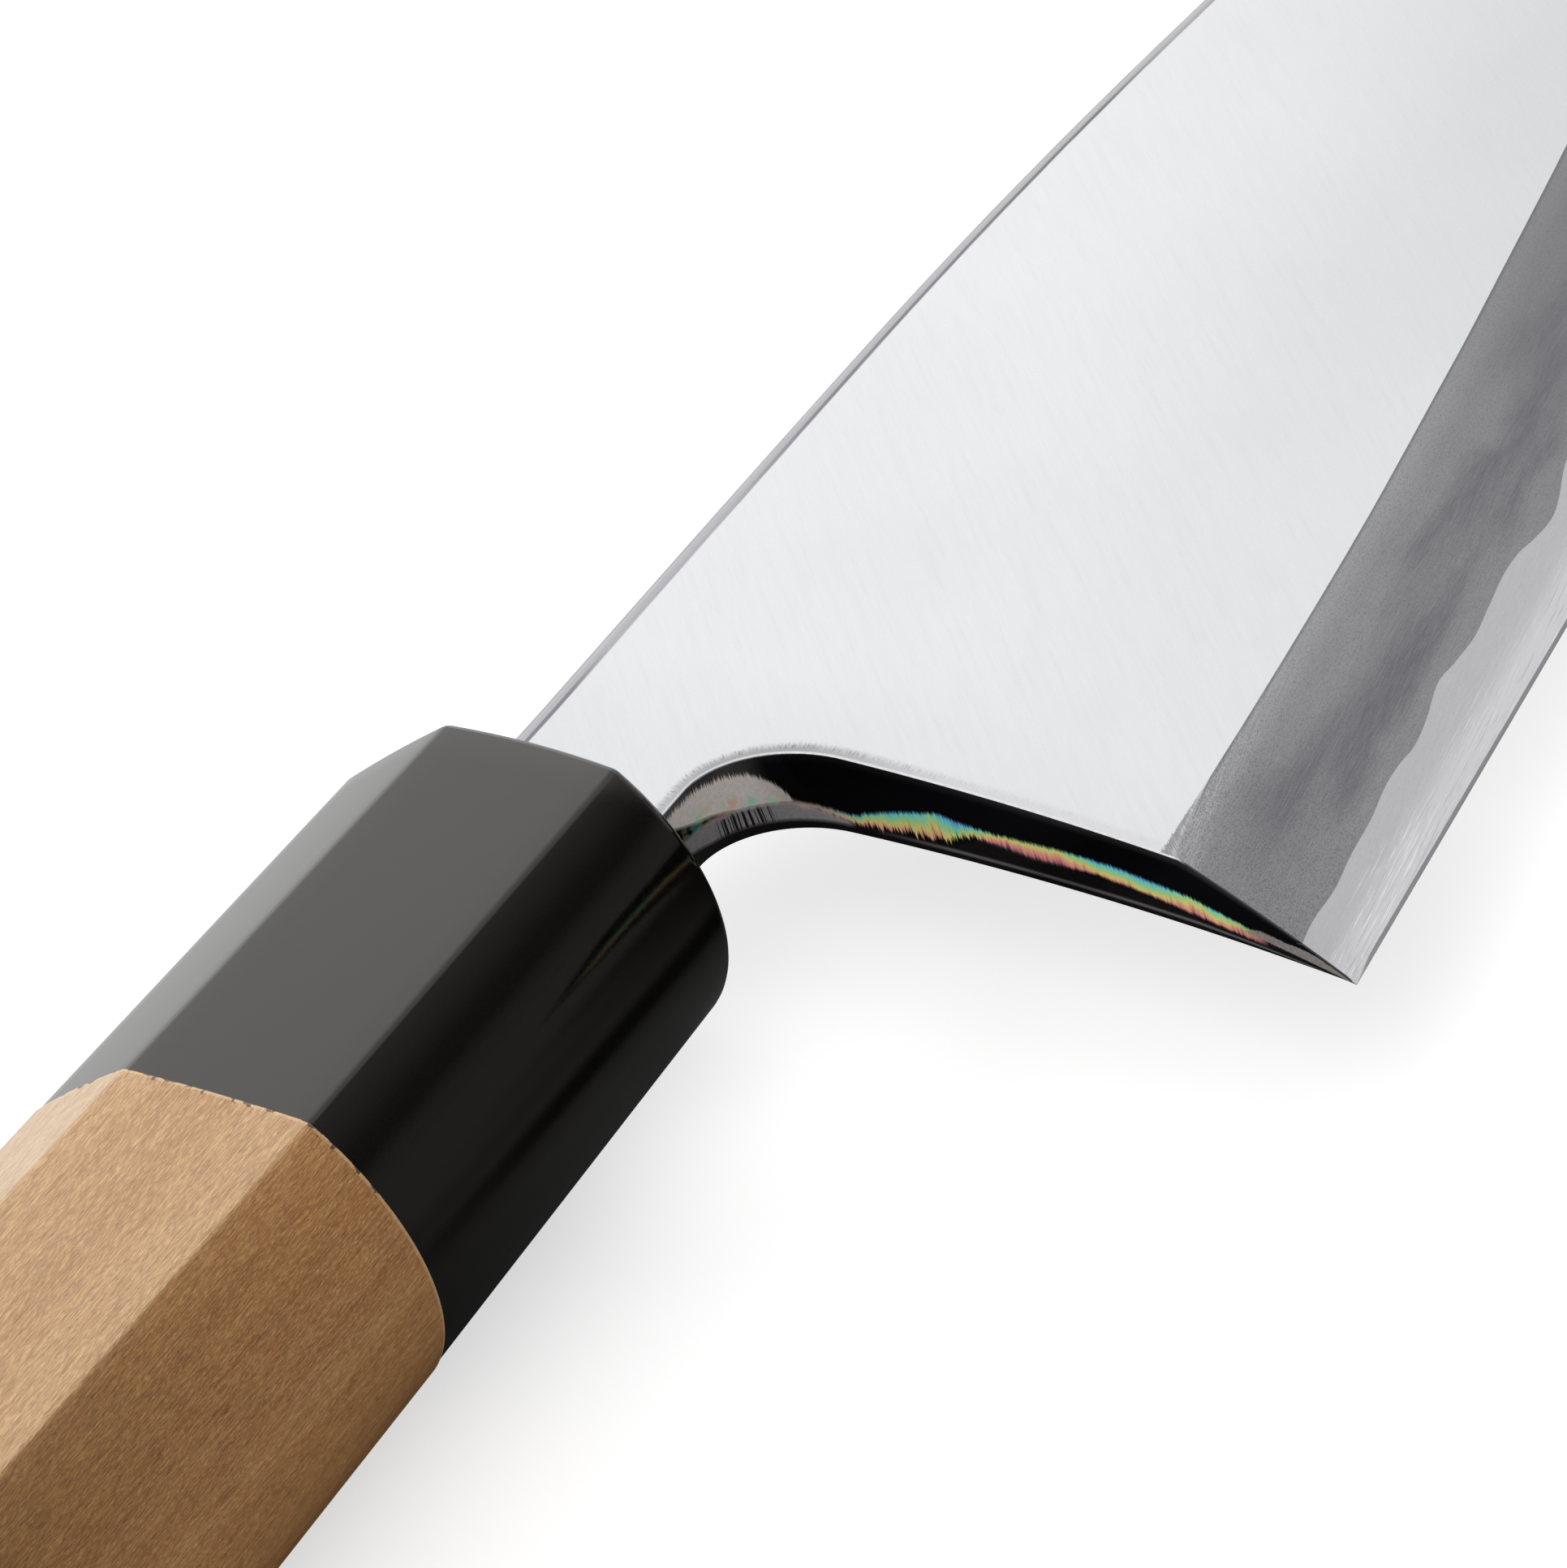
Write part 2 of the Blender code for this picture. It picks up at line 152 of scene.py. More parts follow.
def smooth_ridge_y(x):
    """The ridge as one smooth curve, without the dip that the last strokes left at the heel."""
    t = blade_share(x)
    end = spine_y(POINT_X) - POINT_HEIGHT / 2
    cubic = (
        (2 * t ** 3 - 3 * t ** 2 + 1) * -SHINOGI_DROP
        + (t ** 3 - 2 * t ** 2 + t) * BLADE_LENGTH * SHINOGI_HEEL_SLOPE
        + (3 * t ** 2 - 2 * t ** 3) * end
        + (t ** 3 - t ** 2) * BLADE_LENGTH * SHINOGI_POINT_SLOPE
    )
    waver = noise.noise(Vector((x / WAVER_LENGTH, WAVER_SEED, 0.0)))
    return cubic + SHINOGI_WAVER * waver * (1 - t)


def shinogi_y(x):
    dip = max(0.0, 1 - max(0.0, x - HEEL_GAP) / SHINOGI_DIP_LENGTH)
    return smooth_ridge_y(x) - SHINOGI_DIP * dip ** 2


def face_thickness(x, y):
    plane = SPINE_THICKNESS - DISTAL_TAPER * (x - HEEL_GAP) - FACE_TILT * (SPINE_HEIGHT - y)
    start = POINT_THINNING_START
    thinning = max(0.0, (blade_share(x) - start) / (1 - start)) ** 2
    return plane * (1 - thinning) + POINT_THICKNESS * thinning


print("blade height at the heel:", round(spine_y(HEEL_GAP) - edge_y(HEEL_GAP), 1), "mm")

# %% [markdown]
# ## The bevel and the border of the two steels
# The bevel falls from the ridge to a very fine second bevel at the edge. Where it cuts through the
# weld of soft iron and hard steel, a border shows. The smith's hammer left the weld uneven, so the
# border wanders. A few places along it are joined by a smooth curve, and beyond them it goes on
# with the same kind of waves.

# %% Bevel sizes
MICRO_WIDTH = 0.17
MICRO_HEIGHT = 0.20
EDGE_BLUNT = 0.04
BEVEL_CROWN = 0.06
MICRO_START = 0.15
MICRO_FADE = 2.5
MICRO_POINT_FADE = 3
MICRO_POINT_SHARE = 0.1
TINY = 0.001
FAR_BORDER = 0.355
FAR_WAVE = 0.05
FAR_WAVE_LENGTH = 5.5
FAR_WAVE_SEED = 8.1
FAR_WAVE_FADE = 4
BORDER = (
    (5.0, 0.316), (7.6, 0.312), (9.6, 0.309), (12.2, 0.286), (15.0, 0.297), (18.0, 0.302),
    (20.7, 0.322), (22.6, 0.318), (24.0, 0.303), (26.2, 0.316), (29.2, 0.356), (31.0, 0.338),
    (33.6, 0.320), (36.0, 0.333), (39.0, 0.348), (41.0, 0.339), (42.3, 0.314), (44.3, 0.289),
    (46.0, 0.301), (49.0, 0.354), (52.0, 0.366), (55.0, 0.344),
)


def smooth_step(value):
    value = clamp(value)
    return value * value * (3 - 2 * value)


def border_share(x):
    """Place of the border on the bevel: 0 at the edge, 1 at the ridge."""
    last = len(BORDER) - 1
    if x >= BORDER[last - 1][0]:
        wave = noise.noise(Vector((x / FAR_WAVE_LENGTH, 0.0, FAR_WAVE_SEED))) * FAR_WAVE
        return FAR_BORDER + wave * smooth_step((x - BORDER[last - 1][0]) / FAR_WAVE_FADE)
    i = max(j for j in range(1, last - 1) if BORDER[j][0] <= x or j == 1)
    t = (x - BORDER[i][0]) / (BORDER[i + 1][0] - BORDER[i][0])
    before, start, end, after = (BORDER[j][1] for j in range(i - 1, i + 3))
    return 0.5 * (
        2 * start + (end - before) * t + (2 * before - 5 * start + 4 * end - after) * t ** 2
        + (3 * start - before - 3 * end + after) * t ** 3
    )


def micro_width(x):
    """The second bevel fades in behind the heel tip and narrows at the point."""
    fade_in = MICRO_START + (1 - MICRO_START) * smooth_step((x - HEEL_GAP) / MICRO_FADE)
    fade_out = min(1.0, (POINT_X - x) / MICRO_POINT_FADE + MICRO_POINT_SHARE)
    return MICRO_WIDTH * fade_in * fade_out


def border_y(x):
    return edge_y(x) + border_share(x) * (shinogi_y(x) - edge_y(x))


def face_z(x, y):
    """Height of the bevelled side of the blade at a place in plan."""
    ridge = shinogi_y(x)
    if y >= ridge:
        return BACK_Z + face_thickness(x, y)
    edge = edge_y(x)
    width = micro_width(x)
    micro_top = min(MICRO_HEIGHT * width / MICRO_WIDTH, 0.5 * face_thickness(x, ridge))
    if y <= edge + width:
        share = max(0.0, y - edge) / width
        return BACK_Z + EDGE_BLUNT + (micro_top - EDGE_BLUNT) * share
    share = (y - edge - width) / max(TINY, ridge - edge - width)
    crown = BEVEL_CROWN * 4 * share * (1 - share) * (1 - blade_share(x))
    return BACK_Z + micro_top + (face_thickness(x, ridge) - micro_top) * share + crown


print("border height over the back at x = 20:", round(face_z(20, border_y(20)) - BACK_Z, 2), "mm")

# %% [markdown]
# ## One path round the lower side of the blade
# The blade is skinned with rings, like the ribs of a boat. Each ring starts on the spine and ends
# on a path that runs along the underside of the neck, round the fillet, down the heel and then
# along the edge to the point. That way the polished heel is a row of neat strips, and no ring has
# to be cut.

# %% Heel path
CHOIL_DEPTH = 9.9
NECK_DROP = 9.2
NECK_UNDERCUT = 1.4
FILLET_LENGTH = 5.4
FILLET_HEIGHT = 7.8
NECK_START = -3.0
HEEL_CORNER_ROUND = 0.10


def heel_path(place, side):
    """Point and inward direction on the path under the neck and down the heel.

    place: 0 to 1 along the neck, 1 to 2 round the fillet, 2 to 3 down the heel face.
    side: 0 on the bevelled side, 1 on the hollow side.
    """
    neck = -NECK_DROP + NECK_UNDERCUT * side
    corner_x = CHOIL_DEPTH - FILLET_LENGTH
    if place <= 1:
        return Vector((NECK_START + (corner_x - NECK_START) * place, neck)), Vector((0.0, 1.0))
    if place <= 2:
        angle = (place - 1) * math.pi / 2
        x = corner_x + FILLET_LENGTH * math.sin(angle)
        y = neck - FILLET_HEIGHT * (1 - math.cos(angle))
        inward = Vector((math.sin(angle) * FILLET_HEIGHT, math.cos(angle) * FILLET_LENGTH))
        return Vector((x, y)), inward.normalized()
    top = neck - FILLET_HEIGHT
    share = place - 2
    x = CHOIL_DEPTH - (CHOIL_DEPTH - HEEL_GAP) * share ** 2
    return Vector((x, top - (HEEL_DROP + top) * share)), Vector((1.0, 0.0))


def bisect(low, high, steps, before):
    """The place from low to high where before turns from true to false."""
    for _ in range(steps):
        middle = (low + high) / 2
        if before(middle):
            low = middle
        else:
            high = middle
    return high


def place_on_heel(line, inset):
    """Place on the path where a line of the blade meets the heel, inset inwards from it."""
    def before(place):
        point, inward = heel_path(place, 0)
        point = point + inward * inset
        return point.y > line(point.x)
    return bisect(2.0, 3.0, 40, before)


RIDGE_PLACE = place_on_heel(shinogi_y, HEEL_CORNER_ROUND)
BORDER_PLACE = place_on_heel(border_y, HEEL_CORNER_ROUND)
print("ridge and border meet the heel at", round(RIDGE_PLACE, 3), round(BORDER_PLACE, 3))

# %% [markdown]
# ## The stations
# Rings are close together where the shape or the border changes fast, and further apart on the
# plain middle of the blade. A station holds the lower end of the ring on both sides, the size of
# its rounded corners and the place on the spine where it starts.

# %% Stations
STEEL_REAR_PLACE = 2.2
SPINE_LEAN = 22.5
SPINE_ROUND = 1.75
LEAN_START = 0.9
LEAN_SPAN = 2.3
STEEL_FADE = 0.12
CORNER_LIMIT = 0.3
FIRST_EDGE_RING = 0.25
DENSE_END = 62.0
MIDDLE_END = 150.0


def spread(start, end, count):
    return [start + (end - start) * step / count for step in range(count)]


def heel_station(place):
    top, inward = heel_path(place, 0)
    bottom, inward_back = heel_path(place, 1)
    full_lean = smooth_step((3 - LEAN_START) / LEAN_SPAN)
    lean = SPINE_LEAN * smooth_step((place - LEAN_START) / LEAN_SPAN) / full_lean
    corner = min(HEEL_CORNER_ROUND, CORNER_LIMIT * (face_z(top.x, top.y) - BACK_Z))
    return {
        "place": place, "top": top, "bottom": bottom, "spine_x": top.x + lean,
        "inward": inward, "inward_back": inward_back, "corner": corner,
        "steel": smooth_step((place - STEEL_REAR_PLACE) / STEEL_FADE), "round": True,
    }


def edge_station(x):
    point = Vector((x, edge_y(x)))
    up = Vector((0.0, 1.0))
    spine_x = min(POINT_X, x + SPINE_LEAN * (1 - blade_share(x)) ** 2)
    return {
        "place": 3 + blade_share(x), "top": point, "bottom": point, "spine_x": spine_x,
        "inward": up, "inward_back": up, "corner": micro_width(x),
        "steel": 1.0, "round": False,
    }


NECK_AND_HEEL_RINGS = (
    spread(0.0, 1.0, 8) + spread(1.0, 2.0, 22) + spread(2.0, RIDGE_PLACE, 26)
    + spread(RIDGE_PLACE, BORDER_PLACE, 18) + spread(BORDER_PLACE, 3.0, 12) + [3.0]
)
EDGE_RINGS = (
    spread(HEEL_GAP + FIRST_EDGE_RING, DENSE_END, 96) + spread(DENSE_END, MIDDLE_END, 64)
    + spread(MIDDLE_END, POINT_X, 44) + [POINT_X]
)
stations = [heel_station(place) for place in NECK_AND_HEEL_RINGS]
stations += [edge_station(x) for x in EDGE_RINGS]
print(len(stations), "stations from the neck to the point")

# %% [markdown]
# ## One ring
# A ring is a list of points for each stretch: round the spine, down the flat, down the bevel,
# round the corner, down the heel face, round the lower corner, across the hollow back and up to
# the spine again. The number of points in a stretch never changes. Where a stretch isn't there,
# such as the bevel in the rings above the ridge, its points lie on each other and are merged
# later.

# %% Ring sizes and small helpers
SPINE_STEPS = 6
FLAT_STEPS = 18
BEVEL_STEPS = 12
STEEL_STEPS = 8
CORNER_STEPS = 3
SIDE_STEPS = 6
RIM_STEPS = 2
HOLLOW_STEPS = 14
HOLLOW_DEPTH = 0.35
HOLLOW_RIM = 3.0
HOLLOW_START = 1.9
HOLLOW_FADE_IN = 0.7
HOLLOW_FADE_OUT = 28
RIM_SHARE = 0.22
FLAT_EASE = 1.7
LOW_CORNER = 0.2
LOW_CORNER_SHARE = 0.25
ROUND_LIMIT = 0.4
ROUND_TAPER = 0.4


def weld_height():
    """Height of the border over the back where it meets the heel."""
    point, inward = heel_path(BORDER_PLACE, 0)
    point = point + inward * HEEL_CORNER_ROUND
    return face_z(point.x, point.y) - BACK_Z - HEEL_CORNER_ROUND


WELD_HEIGHT = weld_height()


def crossing(start, end, line):
    """Share of the way from start to end where the ring crosses a line of the blade."""
    if end.y >= line(end.x):
        return 1.0

    def before(share):
        point = start.lerp(end, share)
        return point.y > line(point.x)
    return bisect(0.0, 1.0, 30, before)


def evenly(make, start, end, steps):
    """Points that a function makes at even steps from start to end, with both ends."""
    return [make(start + (end - start) * step / steps) for step in range(steps + 1)]


def quarter(steps):
    """Sines and cosines at even steps through a quarter turn."""
    angles = [math.pi / 2 * step / steps for step in range(steps + 1)]
    return [(math.sin(angle), math.cos(angle)) for angle in angles]


def on_face(point):
    return Vector((point.x, point.y, face_z(point.x, point.y)))


print("weld height at the heel:", round(WELD_HEIGHT, 2), "mm")

# %% [markdown]
# ### All the stretches of a ring
# Every stretch is a short list of points at even steps. The hollow back is a shallow arch between
# its two flat rims, and it fades out towards the neck and the point.

# %% Points of a ring
def spine_round(x):
    limit = ROUND_LIMIT * min(spine_y(x) - shinogi_y(x), face_thickness(x, spine_y(x)))
    return min(SPINE_ROUND * (1 - ROUND_TAPER * blade_share(x)), limit)


def corner_points(station, inner, low_z):
    """Round the corner over the heel, or straight down the very fine second bevel."""
    top, high_z = station["top"], on_face(inner).z
    if station["round"]:
        steps = [(1 - sine, 1 - cosine) for sine, cosine in quarter(CORNER_STEPS)]
    else:
        steps = [(1 - step / CORNER_STEPS, step / CORNER_STEPS) for step in range(CORNER_STEPS + 1)]
    points = []
    for out, down in steps:
        place = top + station["inward"] * station["corner"] * out
        points.append(Vector((place.x, place.y, high_z + (low_z - high_z) * down)))
    return points


def ring_parts(station):
    """The stretches of one ring as lists of points, each from the spine side downwards."""
    x = station["spine_x"]
    radius = spine_round(x)
    start = Vector((x, spine_y(x) - radius))
    top_z = face_z(start.x, start.y)
    top, bottom = station["top"], station["bottom"]
    corner = station["corner"]
    inner = top + station["inward"] * corner
    inner_back = bottom + station["inward_back"] * min(corner, LOW_CORNER)
    top_height = on_face(top).z
    low_height = min(corner, LOW_CORNER, LOW_CORNER_SHARE * (top_height - BACK_Z))

    def round_spine(z, side):
        return [
            Vector((x, start.y + radius * sine, z + side * radius * (1 - cosine)))
            for sine, cosine in quarter(SPINE_STEPS)
        ]

    def on_way(share):
        return on_face(start.lerp(inner, share))

    ridge = crossing(start, inner, shinogi_y)
    border = crossing(start, inner, border_y)
    flat = evenly(lambda share: on_way(ridge * (1 - (1 - share) ** FLAT_EASE)), 0, 1, FLAT_STEPS)
    iron_bevel = evenly(on_way, ridge, border, BEVEL_STEPS)
    steel_bevel = evenly(on_way, border, 1, STEEL_STEPS)
    low_z = top_height - corner if station["round"] else BACK_Z + EDGE_BLUNT

    def side_point(z):
        share = (low_z - z) / max(TINY, low_z - BACK_Z - low_height)
        place = top.lerp(bottom, share)
        return Vector((place.x, place.y, z))

    steel = station["steel"]
    floor_z = BACK_Z + low_height
    weld_z = floor_z + (WELD_HEIGHT - low_height) * steel
    border_on_side = border >= 1.0 and weld_z < low_z
    split_z = weld_z if border_on_side else low_z

    low_corner = []
    for sine, cosine in quarter(CORNER_STEPS):
        place = bottom.lerp(inner_back, 1 - cosine)
        low_corner.append(Vector((place.x, place.y, floor_z + (BACK_Z - floor_z) * sine)))

    length = (start - inner_back).length
    rim = min(HOLLOW_RIM, RIM_SHARE * length)
    fade_in = smooth_step((station["place"] - HOLLOW_START) / HOLLOW_FADE_IN)
    depth = HOLLOW_DEPTH * fade_in * smooth_step((POINT_X - x) / HOLLOW_FADE_OUT)

    def back_point(distance):
        place = inner_back.lerp(start, distance / length)
        across = clamp((distance - rim) / (length - 2 * rim))
        return Vector((place.x, place.y, BACK_Z + depth * (1 - (2 * across - 1) ** 2)))

    return {
        "spine_top": round_spine(top_z, -1)[::-1], "flat": flat,
        "iron_bevel": iron_bevel, "steel_bevel": steel_bevel,
        "corner_arc": corner_points(station, inner, low_z),
        "side_iron": evenly(side_point, low_z, split_z, SIDE_STEPS),
        "side_steel": evenly(side_point, split_z, floor_z, SIDE_STEPS),
        "low_corner": low_corner, "rim_low": evenly(back_point, 0, rim, RIM_STEPS),
        "hollow": evenly(back_point, rim, length - rim, HOLLOW_STEPS),
        "rim_high": evenly(back_point, length - rim, length, RIM_STEPS),
        "spine_low": round_spine(BACK_Z, 1), "border_on_bevel": border < 1.0, "weld": steel,
    }


example = ring_parts(edge_station(40.0))
print("one ring has", sum(len(part) for part in example.values() if isinstance(part, list)), "points")

# %% [markdown]
# ## Two pieces from one set of rings
# The soft iron body and the hard steel layer are forged together, but they are two materials. Each
# ring is therefore split at the weld. The iron takes the upper stretches and closes along the
# weld, and the steel closes along the same points from the other side, so that no gap shows.

# %% Split a ring at the weld
def collapse(points, place):
    return [place.copy() for _ in points]


def back_run(parts):
    """The underside from the lower corner to the spine, one point after the other."""
    run = list(parts["low_corner"])
    for name in ("rim_low", "hollow", "rim_high", "spine_low"):
        run += parts[name][1:]
    return run


def weld_run(parts, border):
    """The weld surface, with a point over every point of the underside."""
    under = back_run(parts)
    end = under[-1]
    count = len(under) - 1
    lengths = [(point - under[0]).length for point in under]
    run = []
    for step, point in enumerate(under):
        share = lengths[step] / max(TINY, lengths[count])
        run.append(point.lerp(border.lerp(end, share), parts["weld"]))
    run[0] = border.copy()
    run[-1] = end.copy()
    return run


def split_ring(parts):
    """Columns of the iron ring and of the steel ring, as (stretch name, points) pairs."""
    if parts["border_on_bevel"]:
        border = parts["iron_bevel"][-1]
        iron_corner = collapse(parts["corner_arc"], border)
        iron_side = collapse(parts["side_iron"], border)
        steel_bevel = parts["steel_bevel"]
        steel_corner = parts["corner_arc"]
        steel_side = parts["side_iron"][:1] + parts["side_steel"][1:]
    else:
        border = parts["side_iron"][-1]
        iron_corner = parts["corner_arc"]
        iron_side = parts["side_iron"]
        steel_bevel = collapse(parts["steel_bevel"], border)
        steel_corner = collapse(parts["corner_arc"], border)
        steel_side = parts["side_steel"]
    weld = weld_run(parts, border)
    low = len(parts["low_corner"]) - 1
    iron = [
        ("spine", [weld[-1]] + parts["spine_top"]), ("flat", parts["flat"]),
        ("bevel", parts["iron_bevel"]), ("arris", iron_corner), ("heel", iron_side),
        ("heel", weld[:low + 1]), ("back", weld[low:]),
    ]
    steel = [
        ("steel", steel_bevel), ("micro", steel_corner), ("heel", steel_side),
        ("heel", parts["low_corner"]), ("rim", parts["rim_low"]), ("hollow", parts["hollow"]),
        ("rim", parts["rim_high"]), ("spine", parts["spine_low"]), ("weld", weld[::-1]),
    ]
    return iron, steel


def columns(stretches):
    """Join the stretches to one closed run, and name the strip that follows each point."""
    points, names = [], []
    for name, stretch in stretches:
        start = 1 if points else 0
        for point in stretch[start:]:
            points.append(point)
        names += [name] * (len(stretch) - 1)
    return points, names


rings = [split_ring(ring_parts(station)) for station in stations]
print("iron and steel rings:", len(rings))

# %% [markdown]
# ## Bending a grid into a skin
# The skin starts as Blender's flat grid. Every point of the grid has a row and a column, so it can
# be moved to the same point of its ring. Then points on the same spot are merged, the open ends
# are closed, and edges between two finishes are kept sharp.

# %% Skin helper
SAME_SPOT = 0.002


def skin(rows, names, slots):
    """Closed mesh from rows of points; names says which slot each strip of faces takes."""
    shape = bmesh.new()
    width = len(rows[0]) - 1
    bmesh.ops.create_grid(shape, x_segments=width, y_segments=len(rows) - 1, size=0.5)
    for face in shape.faces:
        column = int((face.calc_center_median().x + 0.5) * width)
        face.material_index = slots.index(names[min(column, width - 1)])
    for vert in shape.verts:
        column = round((vert.co.x + 0.5) * width)
        row = round((vert.co.y + 0.5) * (len(rows) - 1))
        vert.co = rows[row][column]
    bmesh.ops.remove_doubles(shape, verts=shape.verts, dist=SAME_SPOT)
    bmesh.ops.dissolve_degenerate(shape, dist=SAME_SPOT / 2, edges=shape.edges)
    open_edges = [edge for edge in shape.edges if edge.is_boundary]
    bmesh.ops.holes_fill(shape, edges=open_edges, sides=0)
    bmesh.ops.recalc_face_normals(shape, faces=shape.faces)
    if shape.calc_volume(signed=True) < 0:
        bmesh.ops.reverse_faces(shape, faces=shape.faces)
    return shape


def add_object(name, data):
    made = bpy.data.objects.new(name, data)
    bpy.context.scene.collection.objects.link(made)
    return made


def mesh_object(name, shape):
    """Object with the mesh of a bmesh, which is freed."""
    mesh = bpy.data.meshes.new(name)
    shape.to_mesh(mesh)
    shape.free()
    return add_object(name, mesh)


def finish_piece(name, shape, materials, sharp_angle):
    """Turn a bmesh into an object in its place, smooth but for its real ridges."""
    for edge in shape.edges:
        edge.smooth = len({face.material_index for face in edge.link_faces}) == 1
    for face in shape.faces:
        face.smooth = True
    bmesh.ops.transform(shape, matrix=TO_WORLD, verts=shape.verts)
    piece = mesh_object(name, shape)
    mesh = piece.data
    sharp = [edge.use_edge_sharp for edge in mesh.edges]
    mesh.set_sharp_from_angle(angle=math.radians(sharp_angle))
    for edge, kept in zip(mesh.edges, sharp):
        edge.use_edge_sharp = edge.use_edge_sharp or kept
    for material in materials:
        mesh.materials.append(material)
    print(name, len(mesh.vertices), "points")
    return piece


print("helpers ready")

# %% [markdown]
# ## Small tools for materials
# Colours are given on a screen scale of 0 to 255 and turned into Blender's linear values.
# A material here is a tree of small shader nodes. Each helper adds one node and gives back its
# output, so that a finish reads like a sum: a mask from noise or from a place on the knife says
# where the next colour is laid over the last one. A socket knows its tree, so most helpers find
# the tree by themselves.

# %% Adding nodes
def screen(red, green, blue):
    """Screen colour as a linear colour with full alpha."""
    def linear(value):
        value = value / 255
        return value / 12.92 if value <= 0.04045 else ((value + 0.055) / 1.055) ** 2.4
    return (linear(red), linear(green), linear(blue), 1.0)


def is_socket(value):
    return isinstance(value, bpy.types.NodeSocket)


def add(tree, kind, inputs=None, **settings):
    """Add a node, set its options and fill its inputs with values or with other sockets."""
    made = tree.nodes.new(kind)
    for name, value in settings.items():
        setattr(made, name, value)
    for key, value in (inputs or {}).items():
        if is_socket(value):
            tree.links.new(value, made.inputs[key])
        else:
            made.inputs[key].default_value = value
    return made


def join(kind, inputs, **settings):
    """Add a node to the tree that its first joined input comes from."""
    tree = next(value.id_data for value in inputs.values() if is_socket(value))
    return add(tree, kind, inputs, **settings)


print("node adding ready")

# %% Arithmetic on masks
def calculate(operation, first, second=0.0, use_clamp=False):
    node = join("ShaderNodeMath", {0: first, 1: second}, operation=operation, use_clamp=use_clamp)
    return node.outputs[0]


def vector_math(operation, first, second, output="Vector"):
    node = join("ShaderNodeVectorMath", {0: first, 1: second}, operation=operation)
    return node.outputs[output]


def axes(place):
    """The three numbers of a vector."""
    return join("ShaderNodeSeparateXYZ", {0: place}).outputs.values()


def plane(across, along):
    """Flat map from two numbers, for marks that follow the shape."""
    return join("ShaderNodeCombineXYZ", {"X": across, "Y": along, "Z": 0.0}).outputs[0]


def blend(share, first, second, mode="MIX"):
    """Mix two colours; share says how much of the second one shows."""
    node = join("ShaderNodeMix", {0: share, 6: first, 7: second}, data_type="RGBA", blend_type=mode)
    return node.outputs[2]


def blend_number(share, first, second):
    return join("ShaderNodeMix", {0: share, 2: first, 3: second}).outputs[0]


def remap(value, low, high, to_low=0.0, to_high=1.0, smooth=False):
    """Stretch the range from low to high over the range from to_low to to_high."""
    return join("ShaderNodeMapRange", {
        "Value": value, "From Min": low, "From Max": high, "To Min": to_low, "To Max": to_high,
    }, interpolation_type="SMOOTHSTEP" if smooth else "LINEAR").outputs["Result"]


def ramp(value, stops):
    """Colour from a number: stops are (number, colour)."""
    node = join("ShaderNodeValToRGB", {"Fac": value})
    elements = node.color_ramp.elements
    while len(elements) < len(stops):
        elements.new(0.5)
    for element, (position, colour) in zip(elements, stops):
        element.position = position
        element.color = colour
    return node.outputs["Color"]


def profile(value, low, high, points):
    """A number that follows a drawn line: points are (place from low to high, number)."""
    stops = [((place - low) / (high - low), (number, number, number, 1.0)) for place, number in points]
    return ramp(remap(value, low, high), stops)


def plus(first, *others):
    for other in others:
        first = calculate("ADD", first, other)
    return first


def times(first, *others):
    for other in others:
        first = calculate("MULTIPLY", first, other)
    return first


def minus(first, second):
    return calculate("SUBTRACT", first, second)


def centred(value, size):
    """Turn noise from 0 to 1 into a swing to both sides of zero."""
    return times(minus(value, 0.5), size)


print("mask helpers ready")

# %% Finish helpers
def new_material(name):
    material = bpy.data.materials.new(name)
    material.use_nodes = True
    tree = material.node_tree
    return material, tree, tree.nodes["Principled BSDF"]


def coat(shader, tone, rough, metallic=1.0):
    """Give the shader its colour, its roughness and its share of metal."""
    for name, value in (("Base Color", tone), ("Roughness", rough), ("Metallic", metallic)):
        if is_socket(value):
            shader.id_data.links.new(value, shader.inputs[name])
        else:
            shader.inputs[name].default_value = value


def relief(shader, strength, depth, height):
    """Fine relief from a mask; depth is in millimetres."""
    bump = join("ShaderNodeBump", {"Strength": strength, "Distance": depth * MM, "Height": height})
    shader.id_data.links.new(bump.outputs["Normal"], shader.inputs["Normal"])


def attribute(tree, name):
    return add(tree, "ShaderNodeAttribute", attribute_name=name).outputs["Fac"]


def knife_place(tree, degrees=0.0):
    """Millimetres from the knife's origin, turned about the axis out of the blade."""
    coordinates = add(tree, "ShaderNodeTexCoord").outputs["Object"]
    moved = vector_math("SUBTRACT", coordinates, tuple(ORIGIN))
    scaled = join("ShaderNodeVectorMath", {0: moved, 3: 1 / MM}, operation="SCALE").outputs[0]
    turn = (0, 0, math.radians(degrees))
    return join("ShaderNodeMapping", {"Vector": scaled, "Rotation": turn}).outputs["Vector"]


print("finish helpers ready")

# %% [markdown]
# ## Shared effect: streaks
# Polishing stones, belts and wood grain all leave marks that are long one way and fine the other.
# One node group makes them all: noise on coordinates that are squeezed along x. Its width and
# length are in millimetres.

# %% Streak group
def group_tree(name, inputs, outputs):
    tree = bpy.data.node_groups.new(name, "ShaderNodeTree")
    for label, kind, value in inputs:
        socket = tree.interface.new_socket(label, in_out="INPUT", socket_type=kind)
        if value is not None:
            socket.default_value = value
    for label, kind in outputs:
        tree.interface.new_socket(label, in_out="OUTPUT", socket_type=kind)
    return tree, tree.nodes.new("NodeGroupInput"), tree.nodes.new("NodeGroupOutput")


